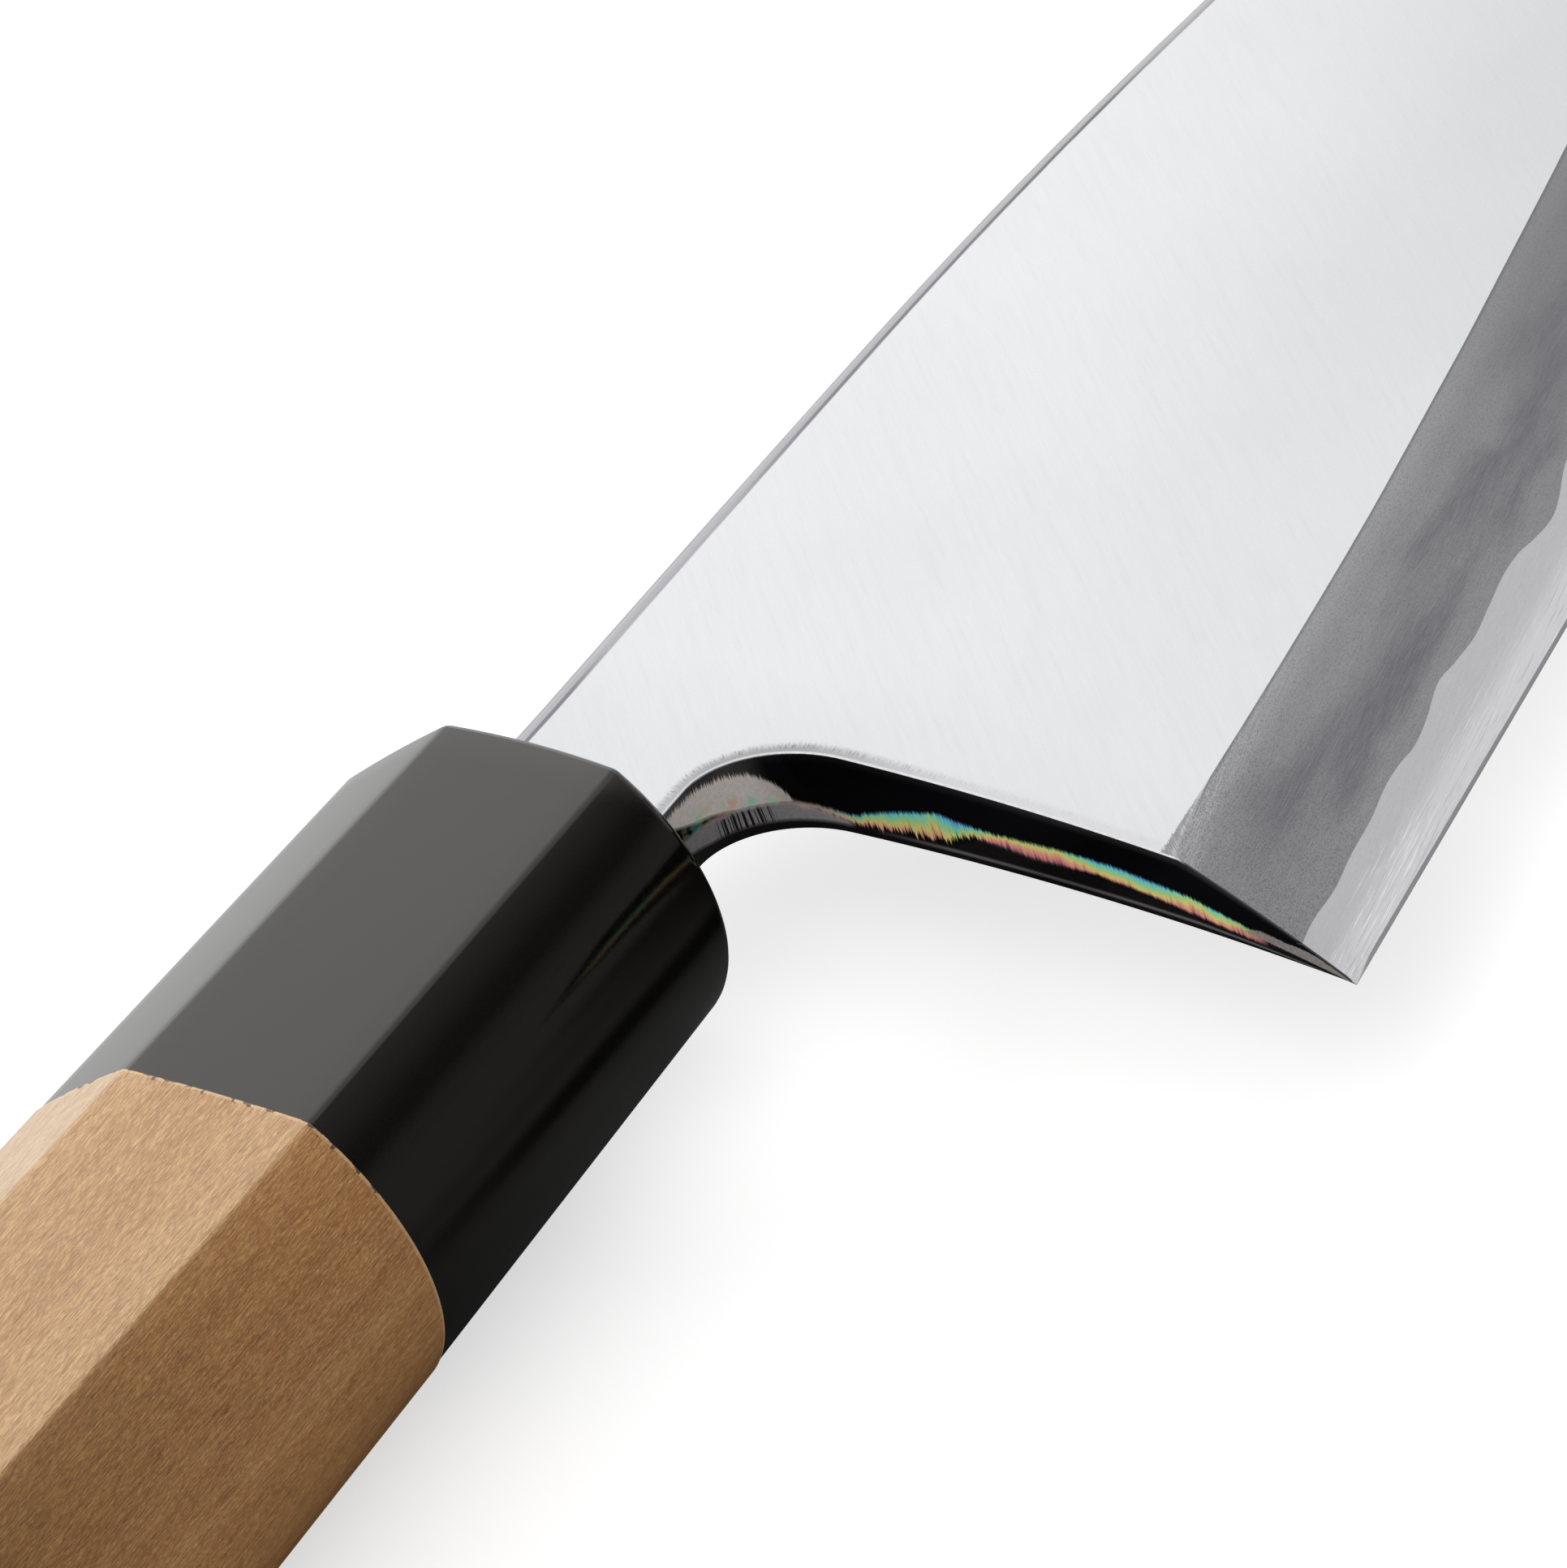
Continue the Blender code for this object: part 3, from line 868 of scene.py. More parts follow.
def with_contrast(noise_value, given, result):
    """Strengthen noise round its middle, keep it from 0 to 1 and hand it to the group's output."""
    strong = times(minus(noise_value, 0.5), given.outputs["Contrast"])
    value = calculate("ADD", strong, 0.5, use_clamp=True)
    value.id_data.links.new(value, result.inputs["Value"])


def make_streaks():
    tree, given, result = group_tree(
        "Streaks",
        [("Vector", "NodeSocketVector", None), ("Length", "NodeSocketFloat", 4.0),
         ("Width", "NodeSocketFloat", 0.1), ("Detail", "NodeSocketFloat", 3.0),
         ("Contrast", "NodeSocketFloat", 1.0)],
        [("Value", "NodeSocketFloat")],
    )
    along = calculate("DIVIDE", 1.0, given.outputs["Length"])
    across = calculate("DIVIDE", 1.0, given.outputs["Width"])
    squeeze = add(tree, "ShaderNodeCombineXYZ", {"X": along, "Y": across, "Z": across}).outputs[0]
    squeezed = vector_math("MULTIPLY", given.outputs["Vector"], squeeze)
    noise_value = add(tree, "ShaderNodeTexNoise", {
        "Vector": squeezed, "Scale": 1.0, "Detail": given.outputs["Detail"], "Roughness": 0.6,
    }).outputs["Fac"]
    with_contrast(noise_value, given, result)
    return tree


STREAKS = make_streaks()


def streaks(place, length, width, detail=3.0, contrast=1.0):
    return join("ShaderNodeGroup", {
        "Vector": place, "Length": length, "Width": width, "Detail": detail, "Contrast": contrast,
    }, node_tree=STREAKS).outputs["Value"]


print("group", STREAKS.name, "has", len(STREAKS.nodes), "nodes")

# %% [markdown]
# ## Shared effect: clouds
# Hand-made surfaces also vary slowly. The second group gives soft patches of a set size.

# %% Cloud group
def make_clouds():
    tree, given, result = group_tree(
        "Clouds",
        [("Vector", "NodeSocketVector", None), ("Size", "NodeSocketFloat", 10.0),
         ("Contrast", "NodeSocketFloat", 1.0)],
        [("Value", "NodeSocketFloat")],
    )
    scale = calculate("DIVIDE", 1.0, given.outputs["Size"])
    noise_value = add(tree, "ShaderNodeTexNoise", {
        "Vector": given.outputs["Vector"], "Scale": scale, "Detail": 3.0, "Roughness": 0.5,
    }).outputs["Fac"]
    with_contrast(noise_value, given, result)
    return tree


CLOUDS = make_clouds()


def clouds(place, size, contrast=1.0):
    return join("ShaderNodeGroup", {
        "Vector": place, "Size": size, "Contrast": contrast,
    }, node_tree=CLOUDS).outputs["Value"]


print("group", CLOUDS.name, "has", len(CLOUDS.nodes), "nodes")

# %% [markdown]
# ## The pale flat
# The flat is ground on a wheel and brightened with fine stones, so it is a bright satin with very
# short hair-fine lines across the blade. Round the neck and the heel the polishing stick left a
# soft, darker halo with a few nicks. Along the spine a narrow band of painted shade marks where the
# rounding starts, with a darker painted line on its inner side. Where the last strokes went over
# the heel end of the ridge, a small brushed strip is left.

# %% Flat material
HEEL_LENGTH = 53.0


def heel_line(along, points):
    """A number drawn along the heel path, which is HEEL_LENGTH long."""
    return profile(along, 0.0, HEEL_LENGTH, points)


def flat_satin(place, hair, rubbed, x, y):
    """Pale satin, a little brighter towards the spine and darker at the neck."""
    patches = clouds(place, 16.0, contrast=1.6)
    tone = blend(patches, screen(197, 198, 200), screen(202, 203, 205))
    tone = blend(remap(hair, 0.3, 0.7, 0.0, 0.08), tone, screen(172, 173, 177))
    tone = blend(remap(rubbed, 0.55, 0.8, 0.0, 0.08), tone, screen(180, 180, 183))
    brighter = times(remap(x, 25.0, 65.0, 0.0, 0.18), remap(y, -22.0, -8.0))
    tone = blend(brighter, tone, screen(230, 231, 233))
    tone = blend(remap(x, 16.0, 8.0, 0.0, 0.10), tone, screen(150, 151, 154))
    glue = remap(x, 0.6, 2.4, 0.35, 0.0, smooth=True)
    return blend(glue, tone, screen(214, 200, 186))


def flat_halo(tree, tone, hair):
    """The soft halo and its nicks along the heel path, with the halo's mask."""
    along = attribute(tree, "heel_along")
    from_heel = attribute(tree, "from_heel")
    comb = streaks(plane(from_heel, along), 0.9, 0.07, detail=4.0, contrast=2.4)
    away = plus(from_heel, centred(comb, 0.16), centred(hair, 0.55))
    rise = remap(from_heel, 0.06, 0.24, smooth=True)
    fall = remap(away, 0.36, 1.10, 1.0, 0.0, smooth=True)
    strength = heel_line(along, [
        (0.0, 0.50), (7.5, 0.75), (10.0, 0.95), (15.0, 0.95), (19.0, 0.70), (26.0, 0.25), (42.0, 0.08)])
    halo = times(rise, fall, strength)
    tone = blend(halo, tone, screen(150, 150, 153))
    nicks = times(remap(away, 0.35, 0.50), remap(away, 0.95, 0.75), strength)
    nicks = times(nicks, remap(comb, 0.42, 0.22))
    return halo, blend(times(nicks, 0.85), tone, screen(84, 84, 86))


def flat_strip(tree, tone, x):
    """The brushed strip at the heel end of the ridge."""
    strokes = streaks(knife_place(tree, -52), 1.6, 0.07, detail=3.0, contrast=2.6)
    brushed = blend(strokes, screen(108, 108, 111), screen(152, 152, 155))
    frayed = plus(attribute(tree, "strip_share"), centred(strokes, 0.30))
    shine = times(remap(frayed, 0.50, 0.74), remap(frayed, 1.0, 0.78), strokes)
    brushed = blend(times(shine, 0.5), brushed, screen(196, 196, 198))
    return blend(times(remap(frayed, 0.02, 0.12), remap(x, 16.0, 12.0)), tone, brushed)


def painted_spine_shade(tree, tone, x):
    """Painted shade: a grey band where the spine's rounding starts, with a darker line on its inner
    side.
    """
    lengthwise = streaks(knife_place(tree), 6.0, 0.1, contrast=2.0)
    near_spine = plus(attribute(tree, "spine_turn"), centred(lengthwise, 0.05))
    # Painted shade on the flat just below the spine's rounding, with a darker painted line inside it.
    shade_start = remap(near_spine, -0.21, -0.15)
    tone = blend(times(shade_start, 0.80), tone, screen(152, 151, 157))
    shade_line_along = profile(x, 0.0, BLADE_LENGTH, [
        (0.0, 1.0), (10.0, 0.9), (14.0, 0.25), (28.0, 0.30),
        (37.0, 0.90), (72.0, 1.0), (80.0, 0.30), (180.0, 0.25)])
    inner_shade_line = times(shade_start, remap(near_spine, 0.06, -0.02), shade_line_along)
    return blend(times(inner_shade_line, 0.9), tone, screen(104, 103, 108))


def make_flat():
    material, tree, shader = new_material("polished flat")
    place = knife_place(tree, -47)
    hair = streaks(place, 1.6, 0.045, detail=3.0, contrast=1.6)
    rubbed = streaks(place, 7.0, 0.35, detail=3.0, contrast=1.5)
    x, y, _ = axes(knife_place(tree))
    tone = flat_satin(place, hair, rubbed, x, y)
    halo, tone = flat_halo(tree, tone, hair)
    tone = painted_spine_shade(tree, flat_strip(tree, tone, x), x)
    coat(shader, tone, plus(remap(rubbed, 0.3, 0.7, 0.27, 0.31), times(halo, 0.15)))
    relief(shader, 0.12, 0.001, hair)
    return material


FLAT = make_flat()
print("made", FLAT.name)

# %% [markdown]
# ## The two-tone bevel
# The bevel is finished on stones. On the soft iron it is a matt, misty grey, painted darker and
# faintly violet in the middle, paler towards the ridge and darker further from the heel, and near
# the heel it is finely pitted. Hard steel stays brighter, with long scratches next to the edge. Both
# carry fine lines along the edge.

# %% Bevel materials
def make_iron_bevel():
    material, tree, shader = new_material("misty iron bevel")
    place = knife_place(tree, -8)
    lines = streaks(place, 1.5, 0.06, detail=4.0, contrast=2.0)
    bands = streaks(place, 26.0, 3.2, detail=2.0, contrast=2.2)
    mist = clouds(place, 7.0, contrast=1.8)
    specks = streaks(place, 0.14, 0.06, detail=2.0, contrast=2.6)
    share = attribute(tree, "bevel_share")
    light = blend(mist, screen(136, 136, 138), screen(145, 145, 147))
    x = axes(knife_place(tree))[0]
    wander = plus(share, centred(mist, 0.22), centred(bands, 0.10))
    middle = times(remap(wander, 0.36, 0.54, smooth=True), remap(wander, 0.84, 0.64, smooth=True))
    uneven = remap(bands, 0.25, 0.75, 0.4, 1.0, smooth=True)
    violet = times(middle, uneven, remap(x, 8.0, 15.0, 0.3, 1.0))
    tone = blend(violet, light, screen(110, 109, 115))
    tone = blend(remap(share, 0.84, 0.98, 0.0, 0.5, smooth=True), tone, screen(172, 172, 174))
    crease = times(remap(share, 0.983, 0.995, 0.0, 0.55), remap(x, 11.0, 16.0))
    tone = blend(crease, tone, screen(86, 86, 90))
    crossing = streaks(knife_place(tree, -14), 4.0, 0.10, detail=3.0, contrast=2.8)
    margin = times(remap(share, 0.86, 0.96), remap(x, 32.0, 9.0), remap(crossing, 0.35, 0.65))
    tone = blend(times(margin, 0.6), tone, screen(196, 196, 198))
    tone = blend(remap(lines, 0.25, 0.75, 0.0, 0.30), tone, screen(176, 176, 178))
    pitted = times(remap(specks, 0.15, 0.5, 1.0, 0.0), remap(x, 9.0, 24.0, 0.75, 0.42))
    tone = blend(pitted, tone, screen(98, 98, 102))
    tone = blend(remap(x, 40.0, 68.0, 0.0, 0.42, smooth=True), tone, screen(112, 111, 115))
    coat(shader, tone, remap(lines, 0.2, 0.8, 0.42, 0.52))
    relief(shader, 0.35, 0.004, plus(lines, times(specks, 0.6)))
    return material


def make_steel_bevel():
    material, tree, shader = new_material("bright steel bevel")
    place = knife_place(tree, -9)
    lines = streaks(place, 1.4, 0.05, detail=4.0, contrast=2.0)
    specks = streaks(place, 0.25, 0.08, detail=2.0, contrast=2.2)
    crossing = streaks(knife_place(tree, -5), 12.0, 0.09, detail=2.0, contrast=2.8)
    long_scratches = streaks(place, 18.0, 0.08, detail=2.0, contrast=3.0)
    scratches = plus(long_scratches, centred(crossing, 0.5))
    share = attribute(tree, "bevel_share")
    tone = blend(lines, screen(179, 178, 182), screen(194, 193, 196))
    tone = blend(remap(specks, 0.2, 0.5, 0.22, 0.0), tone, screen(164, 164, 168))
    near_edge = remap(share, 0.21, 0.08, smooth=True)
    tone = blend(times(near_edge, 0.55), tone, screen(222, 222, 224))
    passes = remap(clouds(place, 9.0, contrast=2.4), 0.35, 0.65, 0.25, 1.0)
    marks = times(remap(share, 0.26, 0.12, smooth=True), passes,
                  remap(scratches, 0.76, 1.05, 0.0, 0.7))
    tone = blend(marks, tone, screen(244, 244, 246))
    dark_marks = times(near_edge, remap(scratches, 0.24, 0.05, 0.0, 0.45))
    tone = blend(dark_marks, tone, screen(165, 165, 168))
    coat(shader, tone, remap(lines, 0.2, 0.8, 0.30, 0.40))
    relief(shader, 0.3, 0.003, lines)
    return material


IRON_BEVEL = make_iron_bevel()
STEEL_BEVEL = make_steel_bevel()
print("made", IRON_BEVEL.name, STEEL_BEVEL.name)

# %% [markdown]
# ## The mirror heel
# The heel face and the underside of the neck are the pride of a good finish: they are polished to
# a mirror, whose black is a painted reflection of dark surroundings. Heat leaves a thin oxide film in
# a streak along the middle, pale grey under the neck and in rainbow colours down the heel. The film
# is painted from two numbers that the mesh carries: how far along the heel a point lies, and how
# high on the face. It is mostly matt and carries a weak painted glow, an emission of its own
# colour, so that it shows where the mirror under it is black.

# %% Heel maps
FILM_PAINTED_GLOW = 0.08
MIRROR_TINT = (0.25, 0.25, 0.25, 1.0)


def between(value, low, high, softness):
    """1 where value lies between low and high, with soft ends."""
    over = remap(minus(value, low), -softness, softness)
    under = remap(minus(high, value), -softness, softness)
    return times(over, under)


def heel_maps(tree):
    """The places and the noises that the parts of this finish share."""
    along = attribute(tree, "heel_along")
    across = attribute(tree, "heel_across")
    flat_map = plane(times(across, 6.0), along)
    fine_teeth = streaks(flat_map, 2.0, 0.06, detail=3.0, contrast=2.2)
    return SimpleNamespace(
        along=along, across=across, flat_map=flat_map, fine_teeth=fine_teeth,
        teeth=streaks(flat_map, 3.5, 0.22, detail=4.0, contrast=2.4),
        dust=clouds(flat_map, 0.25, contrast=2.2),
        ragged=plus(across, centred(fine_teeth, 0.08)),
    )


print("heel face unrolls to", HEEL_LENGTH, "mm")

# %% [markdown]
# ### The mirror and the grey film
# The mirror's black is a painted reflection, and it is not one black. A slightly paler strip of
# painted reflection runs below, with a thin painted glint on the lower corner. Under the neck lies a
# grey film with fine ticks, and round the fillet its palest patch, which has combed edges and a thin
# haze above it.

# %% Mirror and grey film
def painted_mirror_reflection(maps):
    """Painted reflection in the mirror: black above a line and paler below it, with a painted glint."""
    # Painted reflection: the paler strip under the line and the black above it stand in for dark
    # surroundings seen in the mirror.
    lower = blend(maps.dust, screen(42, 40, 42), screen(58, 55, 56))
    lower = blend(remap(maps.along, 9.5, 6.0), lower, screen(92, 88, 86))
    under = heel_line(maps.along, [
        (0.0, 0.36), (6.0, 0.31), (8.5, 0.15), (16.5, 0.10), (24.0, 0.16),
        (27.0, 0.38), (34.0, 0.32), (42.0, 0.22), (47.0, 0.30)])
    tone = blend(remap(minus(maps.ragged, under), -0.03, 0.03), lower, screen(30, 28, 33))
    # Painted highlight: a thin glint along the lower corner.
    painted_glint = times(between(maps.across, 0.085, 0.125, 0.015), remap(maps.along, 18.0, 24.0), 0.7)
    return under, blend(painted_glint, tone, screen(206, 200, 198))


def grey_band(maps, tone, under):
    """The grey film under the neck and the ticks across it, with the film's mask."""
    top = heel_line(maps.along, [
        (0.0, 0.52), (5.0, 0.46), (7.5, 0.45), (10.0, 0.40), (13.5, 0.36), (15.2, 0.24), (17.0, 0.14)])
    band = times(between(maps.across, under, top, 0.03), remap(maps.along, 17.2, 16.6))
    grey = blend(maps.dust, screen(150, 146, 149), screen(178, 172, 175))
    grey = blend(remap(maps.along, 6.5, 4.0), grey, screen(132, 125, 126))
    tone = blend(band, tone, grey)
    tick_top = plus(centred(maps.fine_teeth, 0.12), 0.36)
    tick_lines = streaks(plane(0.0, maps.along), 6.0, 0.17, detail=1.0, contrast=3.0)
    ticks = times(between(maps.along, 9.0, 12.0, 0.2), between(maps.across, 0.13, tick_top, 0.02))
    ticks = times(ticks, remap(tick_lines, 0.50, 0.58))
    return band, blend(ticks, tone, screen(24, 22, 24))


def pale_patch(maps, tone):
    """The palest part of the film, partly a painted reflection, and the haze above it, with the patch's
    mask.
    """
    top = heel_line(maps.along, [
        (0.0, 0.95), (8.0, 0.90), (10.0, 0.86), (11.0, 0.83), (11.9, 0.75),
        (12.6, 0.64), (13.1, 0.52), (13.5, 0.36), (15.0, 0.30)])
    low = heel_line(maps.along, [(0.0, 0.80), (6.0, 0.71), (8.0, 0.51), (10.3, 0.38), (14.0, 0.34)])
    combed = streaks(maps.flat_map, 4.0, 0.07, detail=3.0, contrast=3.0)
    edge = plus(top, centred(combed, 0.09))
    patch = times(between(maps.across, low, edge, 0.03), remap(maps.along, 13.6, 13.3))
    # The pale patch is film colour and partly a painted reflection of bright surroundings.
    mottled = blend(maps.dust, screen(228, 220, 213), screen(252, 245, 238))
    shaded = heel_line(maps.along, [(0.0, 0.0), (9.0, 0.05), (11.5, 0.15), (13.0, 0.5)])
    tone = blend(patch, tone, blend(shaded, mottled, screen(140, 134, 130)))
    haze = heel_line(maps.along, [(0.0, 0.85), (6.5, 0.80), (8.0, 0.45), (11.0, 0.26), (12.6, 0.0)])
    over_patch = times(remap(minus(maps.across, edge), 0.0, 0.03), haze)
    return patch, blend(over_patch, tone, screen(196, 192, 188))


print("grey film helpers ready")

# %% [markdown]
# ### The rainbow film
# A film that gets thicker step by step runs through the colours in order: blue, green, yellow,
# red. So one number, the hue, is read from one ramp. It grows down the film, and a drawn line says
# which colour the film starts with at each place along the heel.

# %% Rainbow film
RAINBOW = (
    (0.0, screen(116, 150, 232)), (0.12, screen(110, 196, 238)), (0.26, screen(128, 238, 220)),
    (0.42, screen(196, 240, 150)), (0.56, screen(248, 236, 140)), (0.70, screen(252, 190, 146)),
    (0.86, screen(248, 146, 146)), (1.0, screen(150, 100, 110)),
)
FLECK_COLOURS = (
    (0.0, screen(120, 200, 236)), (0.3, screen(160, 236, 190)), (0.5, screen(240, 214, 150)),
    (0.7, screen(250, 170, 160)), (1.0, screen(230, 130, 200)),
)


def film_edges(maps):
    """Ragged upper and lower edge of the rainbow film."""
    top = heel_line(maps.along, [
        (0.0, 0.0), (8.0, 0.56), (12.0, 0.47), (13.6, 0.38), (14.4, 0.33), (17.0, 0.24), (20.0, 0.41),
        (24.0, 0.57), (25.4, 0.52), (28.0, 0.49), (32.6, 0.54), (36.5, 0.55), (41.6, 0.46),
        (46.0, 0.42)])
    low = heel_line(maps.along, [
        (0.0, 0.0), (8.0, 0.45), (12.0, 0.35), (13.8, 0.29), (17.0, 0.14), (20.0, 0.18), (24.0, 0.23),
        (26.0, 0.38), (30.5, 0.30), (35.0, 0.35), (39.0, 0.29), (41.6, 0.22), (46.0, 0.18)])
    wild = heel_line(maps.along, [
        (0.0, 1.0), (17.0, 0.3), (20.0, 0.8), (26.0, 0.7), (27.0, 0.16), (53.0, 0.12)])
    top = plus(top, centred(maps.fine_teeth, 0.04), centred(maps.teeth, 0.04))
    torn = plus(centred(maps.teeth, 0.18), centred(maps.fine_teeth, 0.12))
    return top, plus(low, times(wild, torn))


def rainbow_film(maps, tone):
    """The rainbow film, with its mask."""
    top, low = film_edges(maps)
    presence = heel_line(maps.along, [
        (0.0, 0.0), (13.2, 0.0), (13.8, 0.8), (17.0, 0.9), (44.0, 0.95), (46.5, 0.7), (47.0, 0.0)])
    thickness = calculate("MAXIMUM", minus(top, low), 0.05)
    down_film = calculate("DIVIDE", minus(top, maps.across), thickness)
    first_hue = heel_line(maps.along, [
        (0.0, 0.55), (14.5, 0.62), (16.5, 0.30), (18.5, 0.16), (22.0, 0.14), (25.0, 0.0), (26.5, 0.12),
        (28.0, 0.32), (31.0, 0.44), (33.5, 0.30), (36.0, 0.12), (38.5, 0.02), (40.5, 0.20),
        (44.0, 0.34)])
    drift = clouds(plane(times(maps.across, 1.2), maps.along), 3.0, contrast=2.4)
    hue = plus(times(down_film, 0.62), centred(drift, 0.35), centred(maps.teeth, 0.14), first_hue)
    gaps = times(remap(maps.teeth, 0.62, 0.85, 0.0, 0.55), remap(down_film, 0.2, 1.0))
    rainbow = blend(gaps, ramp(hue, RAINBOW), screen(60, 52, 50))
    rainbow = blend(remap(maps.along, 17.5, 15.5, 0.0, 0.85), rainbow, screen(206, 188, 178))
    film = times(between(maps.across, low, top, 0.025), presence)
    return film, blend(film, tone, rainbow)


def colour_flecks(maps, tone):
    """Small coloured flecks in the grey film."""
    drawn_hue = heel_line(maps.along, [
        (0.0, 0.85), (5.0, 0.95), (7.5, 0.15), (9.0, 0.62), (10.3, 0.60), (11.2, 0.10), (12.0, 0.25),
        (13.0, 0.50)])
    hue = plus(drawn_hue, centred(clouds(maps.flat_map, 0.9, contrast=3.0), 0.30))
    low = heel_line(maps.along, [(0.0, 0.48), (5.0, 0.42), (7.0, 0.46), (9.0, 0.40), (13.0, 0.35)])
    top = heel_line(maps.along, [
        (0.0, 0.58), (5.0, 0.54), (7.0, 0.60), (9.5, 0.62), (11.0, 0.50), (13.0, 0.46)])
    place = times(between(maps.across, low, top, 0.05), remap(maps.along, 13.0, 12.4))
    flecks = times(place, remap(clouds(maps.flat_map, 1.1, contrast=2.6), 0.50, 0.66))
    return blend(times(flecks, 0.7), tone, ramp(hue, FLECK_COLOURS))


def heel_tip(maps, tone):
    """The grey film at the tip, with its mask, and the light on the upper corner."""
    top = heel_line(maps.along, [
        (0.0, 0.0), (45.0, 0.25), (46.5, 0.50), (48.5, 0.58), (49.5, 0.74), (50.5, 0.86)])
    tip = times(between(maps.ragged, 0.30, top, 0.02), remap(maps.along, 44.8, 45.8))
    tone = blend(tip, tone, blend(maps.dust, screen(124, 117, 114), screen(172, 164, 160)))
    light = heel_line(maps.along, [
        (0.0, 0.0), (20.0, 0.08), (36.0, 0.16), (44.0, 0.22), (52.0, 0.10)])
    edge_light = times(remap(maps.across, 0.86, 0.99, smooth=True), light)
    return tip, blend(edge_light, tone, screen(186, 184, 186))


print("rainbow of", len(RAINBOW), "colours")

# %% [markdown]
# ### The heel finish as a whole
# The parts are laid over each other. Where a film lies, the metal turns rougher and mostly loses
# its mirror, so one mask of all the films drives both.

# %% Heel material
def make_heel():
    material, tree, shader = new_material("mirror heel")
    maps = heel_maps(tree)
    under, tone = painted_mirror_reflection(maps)
    band, tone = grey_band(maps, tone, under)
    patch, tone = pale_patch(maps, tone)
    film, tone = rainbow_film(maps, tone)
    tip, tone = heel_tip(maps, colour_flecks(maps, tone))
    # Painted light: where a film or the pale patch lies, the heel glows weakly in its own colour.
    painted_glow_mask = calculate("MAXIMUM", film, patch)
    tree.links.new(blend(painted_glow_mask, screen(0, 0, 0), tone), shader.inputs["Emission Color"])
    shader.inputs["Emission Strength"].default_value = FILM_PAINTED_GLOW
    shader.inputs["Specular Tint"].default_value = MIRROR_TINT
    under_neck = calculate("MAXIMUM", film, band)
    filmed = calculate("MAXIMUM", under_neck, calculate("MAXIMUM", patch, tip))
    coat(shader, tone, remap(filmed, 0.0, 1.0, 0.07, 0.30), remap(filmed, 0.0, 1.0, 0.80, 0.10))
    return material


HEEL = make_heel()
print("made", HEEL.name)

# %% [markdown]
# ## Spine, hollow back and tang
# The spine is rounded and buffed, with a painted highlight towards its crest. The back is ground
# hollow on a large wheel, so its marks run along the blade, inside a narrow flat rim that was
# rubbed bright on a stone. The hidden tang keeps its black forge scale. These finishes differ only
# in their colours, roughness and the size of their marks, so one function makes most of them.

# %% Other blade materials
def make_brushed(name, low_tone, high_tone, rough, marks, degrees=0.0, metallic=1.0):
    """Ground metal: rough is its range of roughness, marks the length and width of its lines."""
    material, tree, shader = new_material(name)
    place = knife_place(tree, degrees)
    lines = streaks(place, *marks, detail=4.0, contrast=1.6)
    patches = clouds(place, 18.0, contrast=1.4)
    tone = blend(lines, screen(*low_tone), screen(*high_tone))
    tone = blend(remap(patches, 0.3, 0.7, 0.0, 0.2), tone, screen(*low_tone))
    coat(shader, tone, remap(lines, 0.2, 0.8, *rough), metallic)
    relief(shader, 0.3, 0.003, lines)
    return material


def make_spine():
    material, tree, shader = new_material("buffed spine")
    lines = streaks(knife_place(tree), 9.0, 0.14, detail=4.0, contrast=1.8)
    tone = blend(lines, screen(143, 142, 147), screen(158, 157, 162))
    turned = plus(attribute(tree, "spine_turn"), centred(lines, 0.2))
    # Painted highlight: the spine is painted paler towards the crest of its rounding.
    wear_and_highlight = remap(turned, 0.18, 0.62, 0.0, 0.8, smooth=True)
    coat(shader, blend(wear_and_highlight, tone, screen(204, 203, 207)), remap(lines, 0.2, 0.8, 0.2, 0.3))
    return material


def make_arris():
    """The tiny rounded corner over the heel: bright under the flat, dull under the bevel."""
    material, tree, shader = new_material("heel arris")
    wear_and_highlight = streaks(knife_place(tree), 1.5, 0.3, detail=3.0, contrast=2.0)
    bright = blend(wear_and_highlight, screen(176, 176, 178), screen(208, 208, 210))
    under_flat = remap(attribute(tree, "bevel_share"), 0.96, 1.02)
    tone = blend(under_flat, screen(70, 70, 73), bright)
    coat(shader, tone, remap(wear_and_highlight, 0.2, 0.8, 0.2, 0.3))
    return material


SPINE = make_spine()
ARRIS = make_arris()
MICRO_BEVEL = make_brushed(
    "fine edge bevel", (150, 150, 153), (172, 172, 175), (0.4, 0.5), (12.0, 0.1), metallic=0.2)
BACK = make_brushed(
    "ground neck back", (180, 181, 184), (206, 207, 209), (0.28, 0.36), (6.0, 0.12), math.degrees(1.2))
RIM = make_brushed("rubbed rim", (206, 207, 209), (222, 223, 225), (0.2, 0.28), (12.0, 0.12))
HOLLOW = make_brushed("hollow back", (178, 179, 182), (204, 205, 208), (0.28, 0.38), (18.0, 0.16))
WELD = make_brushed("weld", (150, 150, 152), (170, 170, 172), (0.4, 0.5), (10.0, 0.3))
TANG = make_brushed("forge scale", (46, 44, 43), (70, 66, 63), (0.55, 0.7), (8.0, 0.8))
print("made", [item.name for item in (SPINE, ARRIS, MICRO_BEVEL, BACK, RIM, HOLLOW, WELD, TANG)])

# %% [markdown]
# ## The blade body
# The iron skin gets two more rings at the back: the tang is a plain taper, and the shoulder is the
# step between it and the neck. A point of the neck finds its place on the tang by being held
# inside the tang's rectangle.

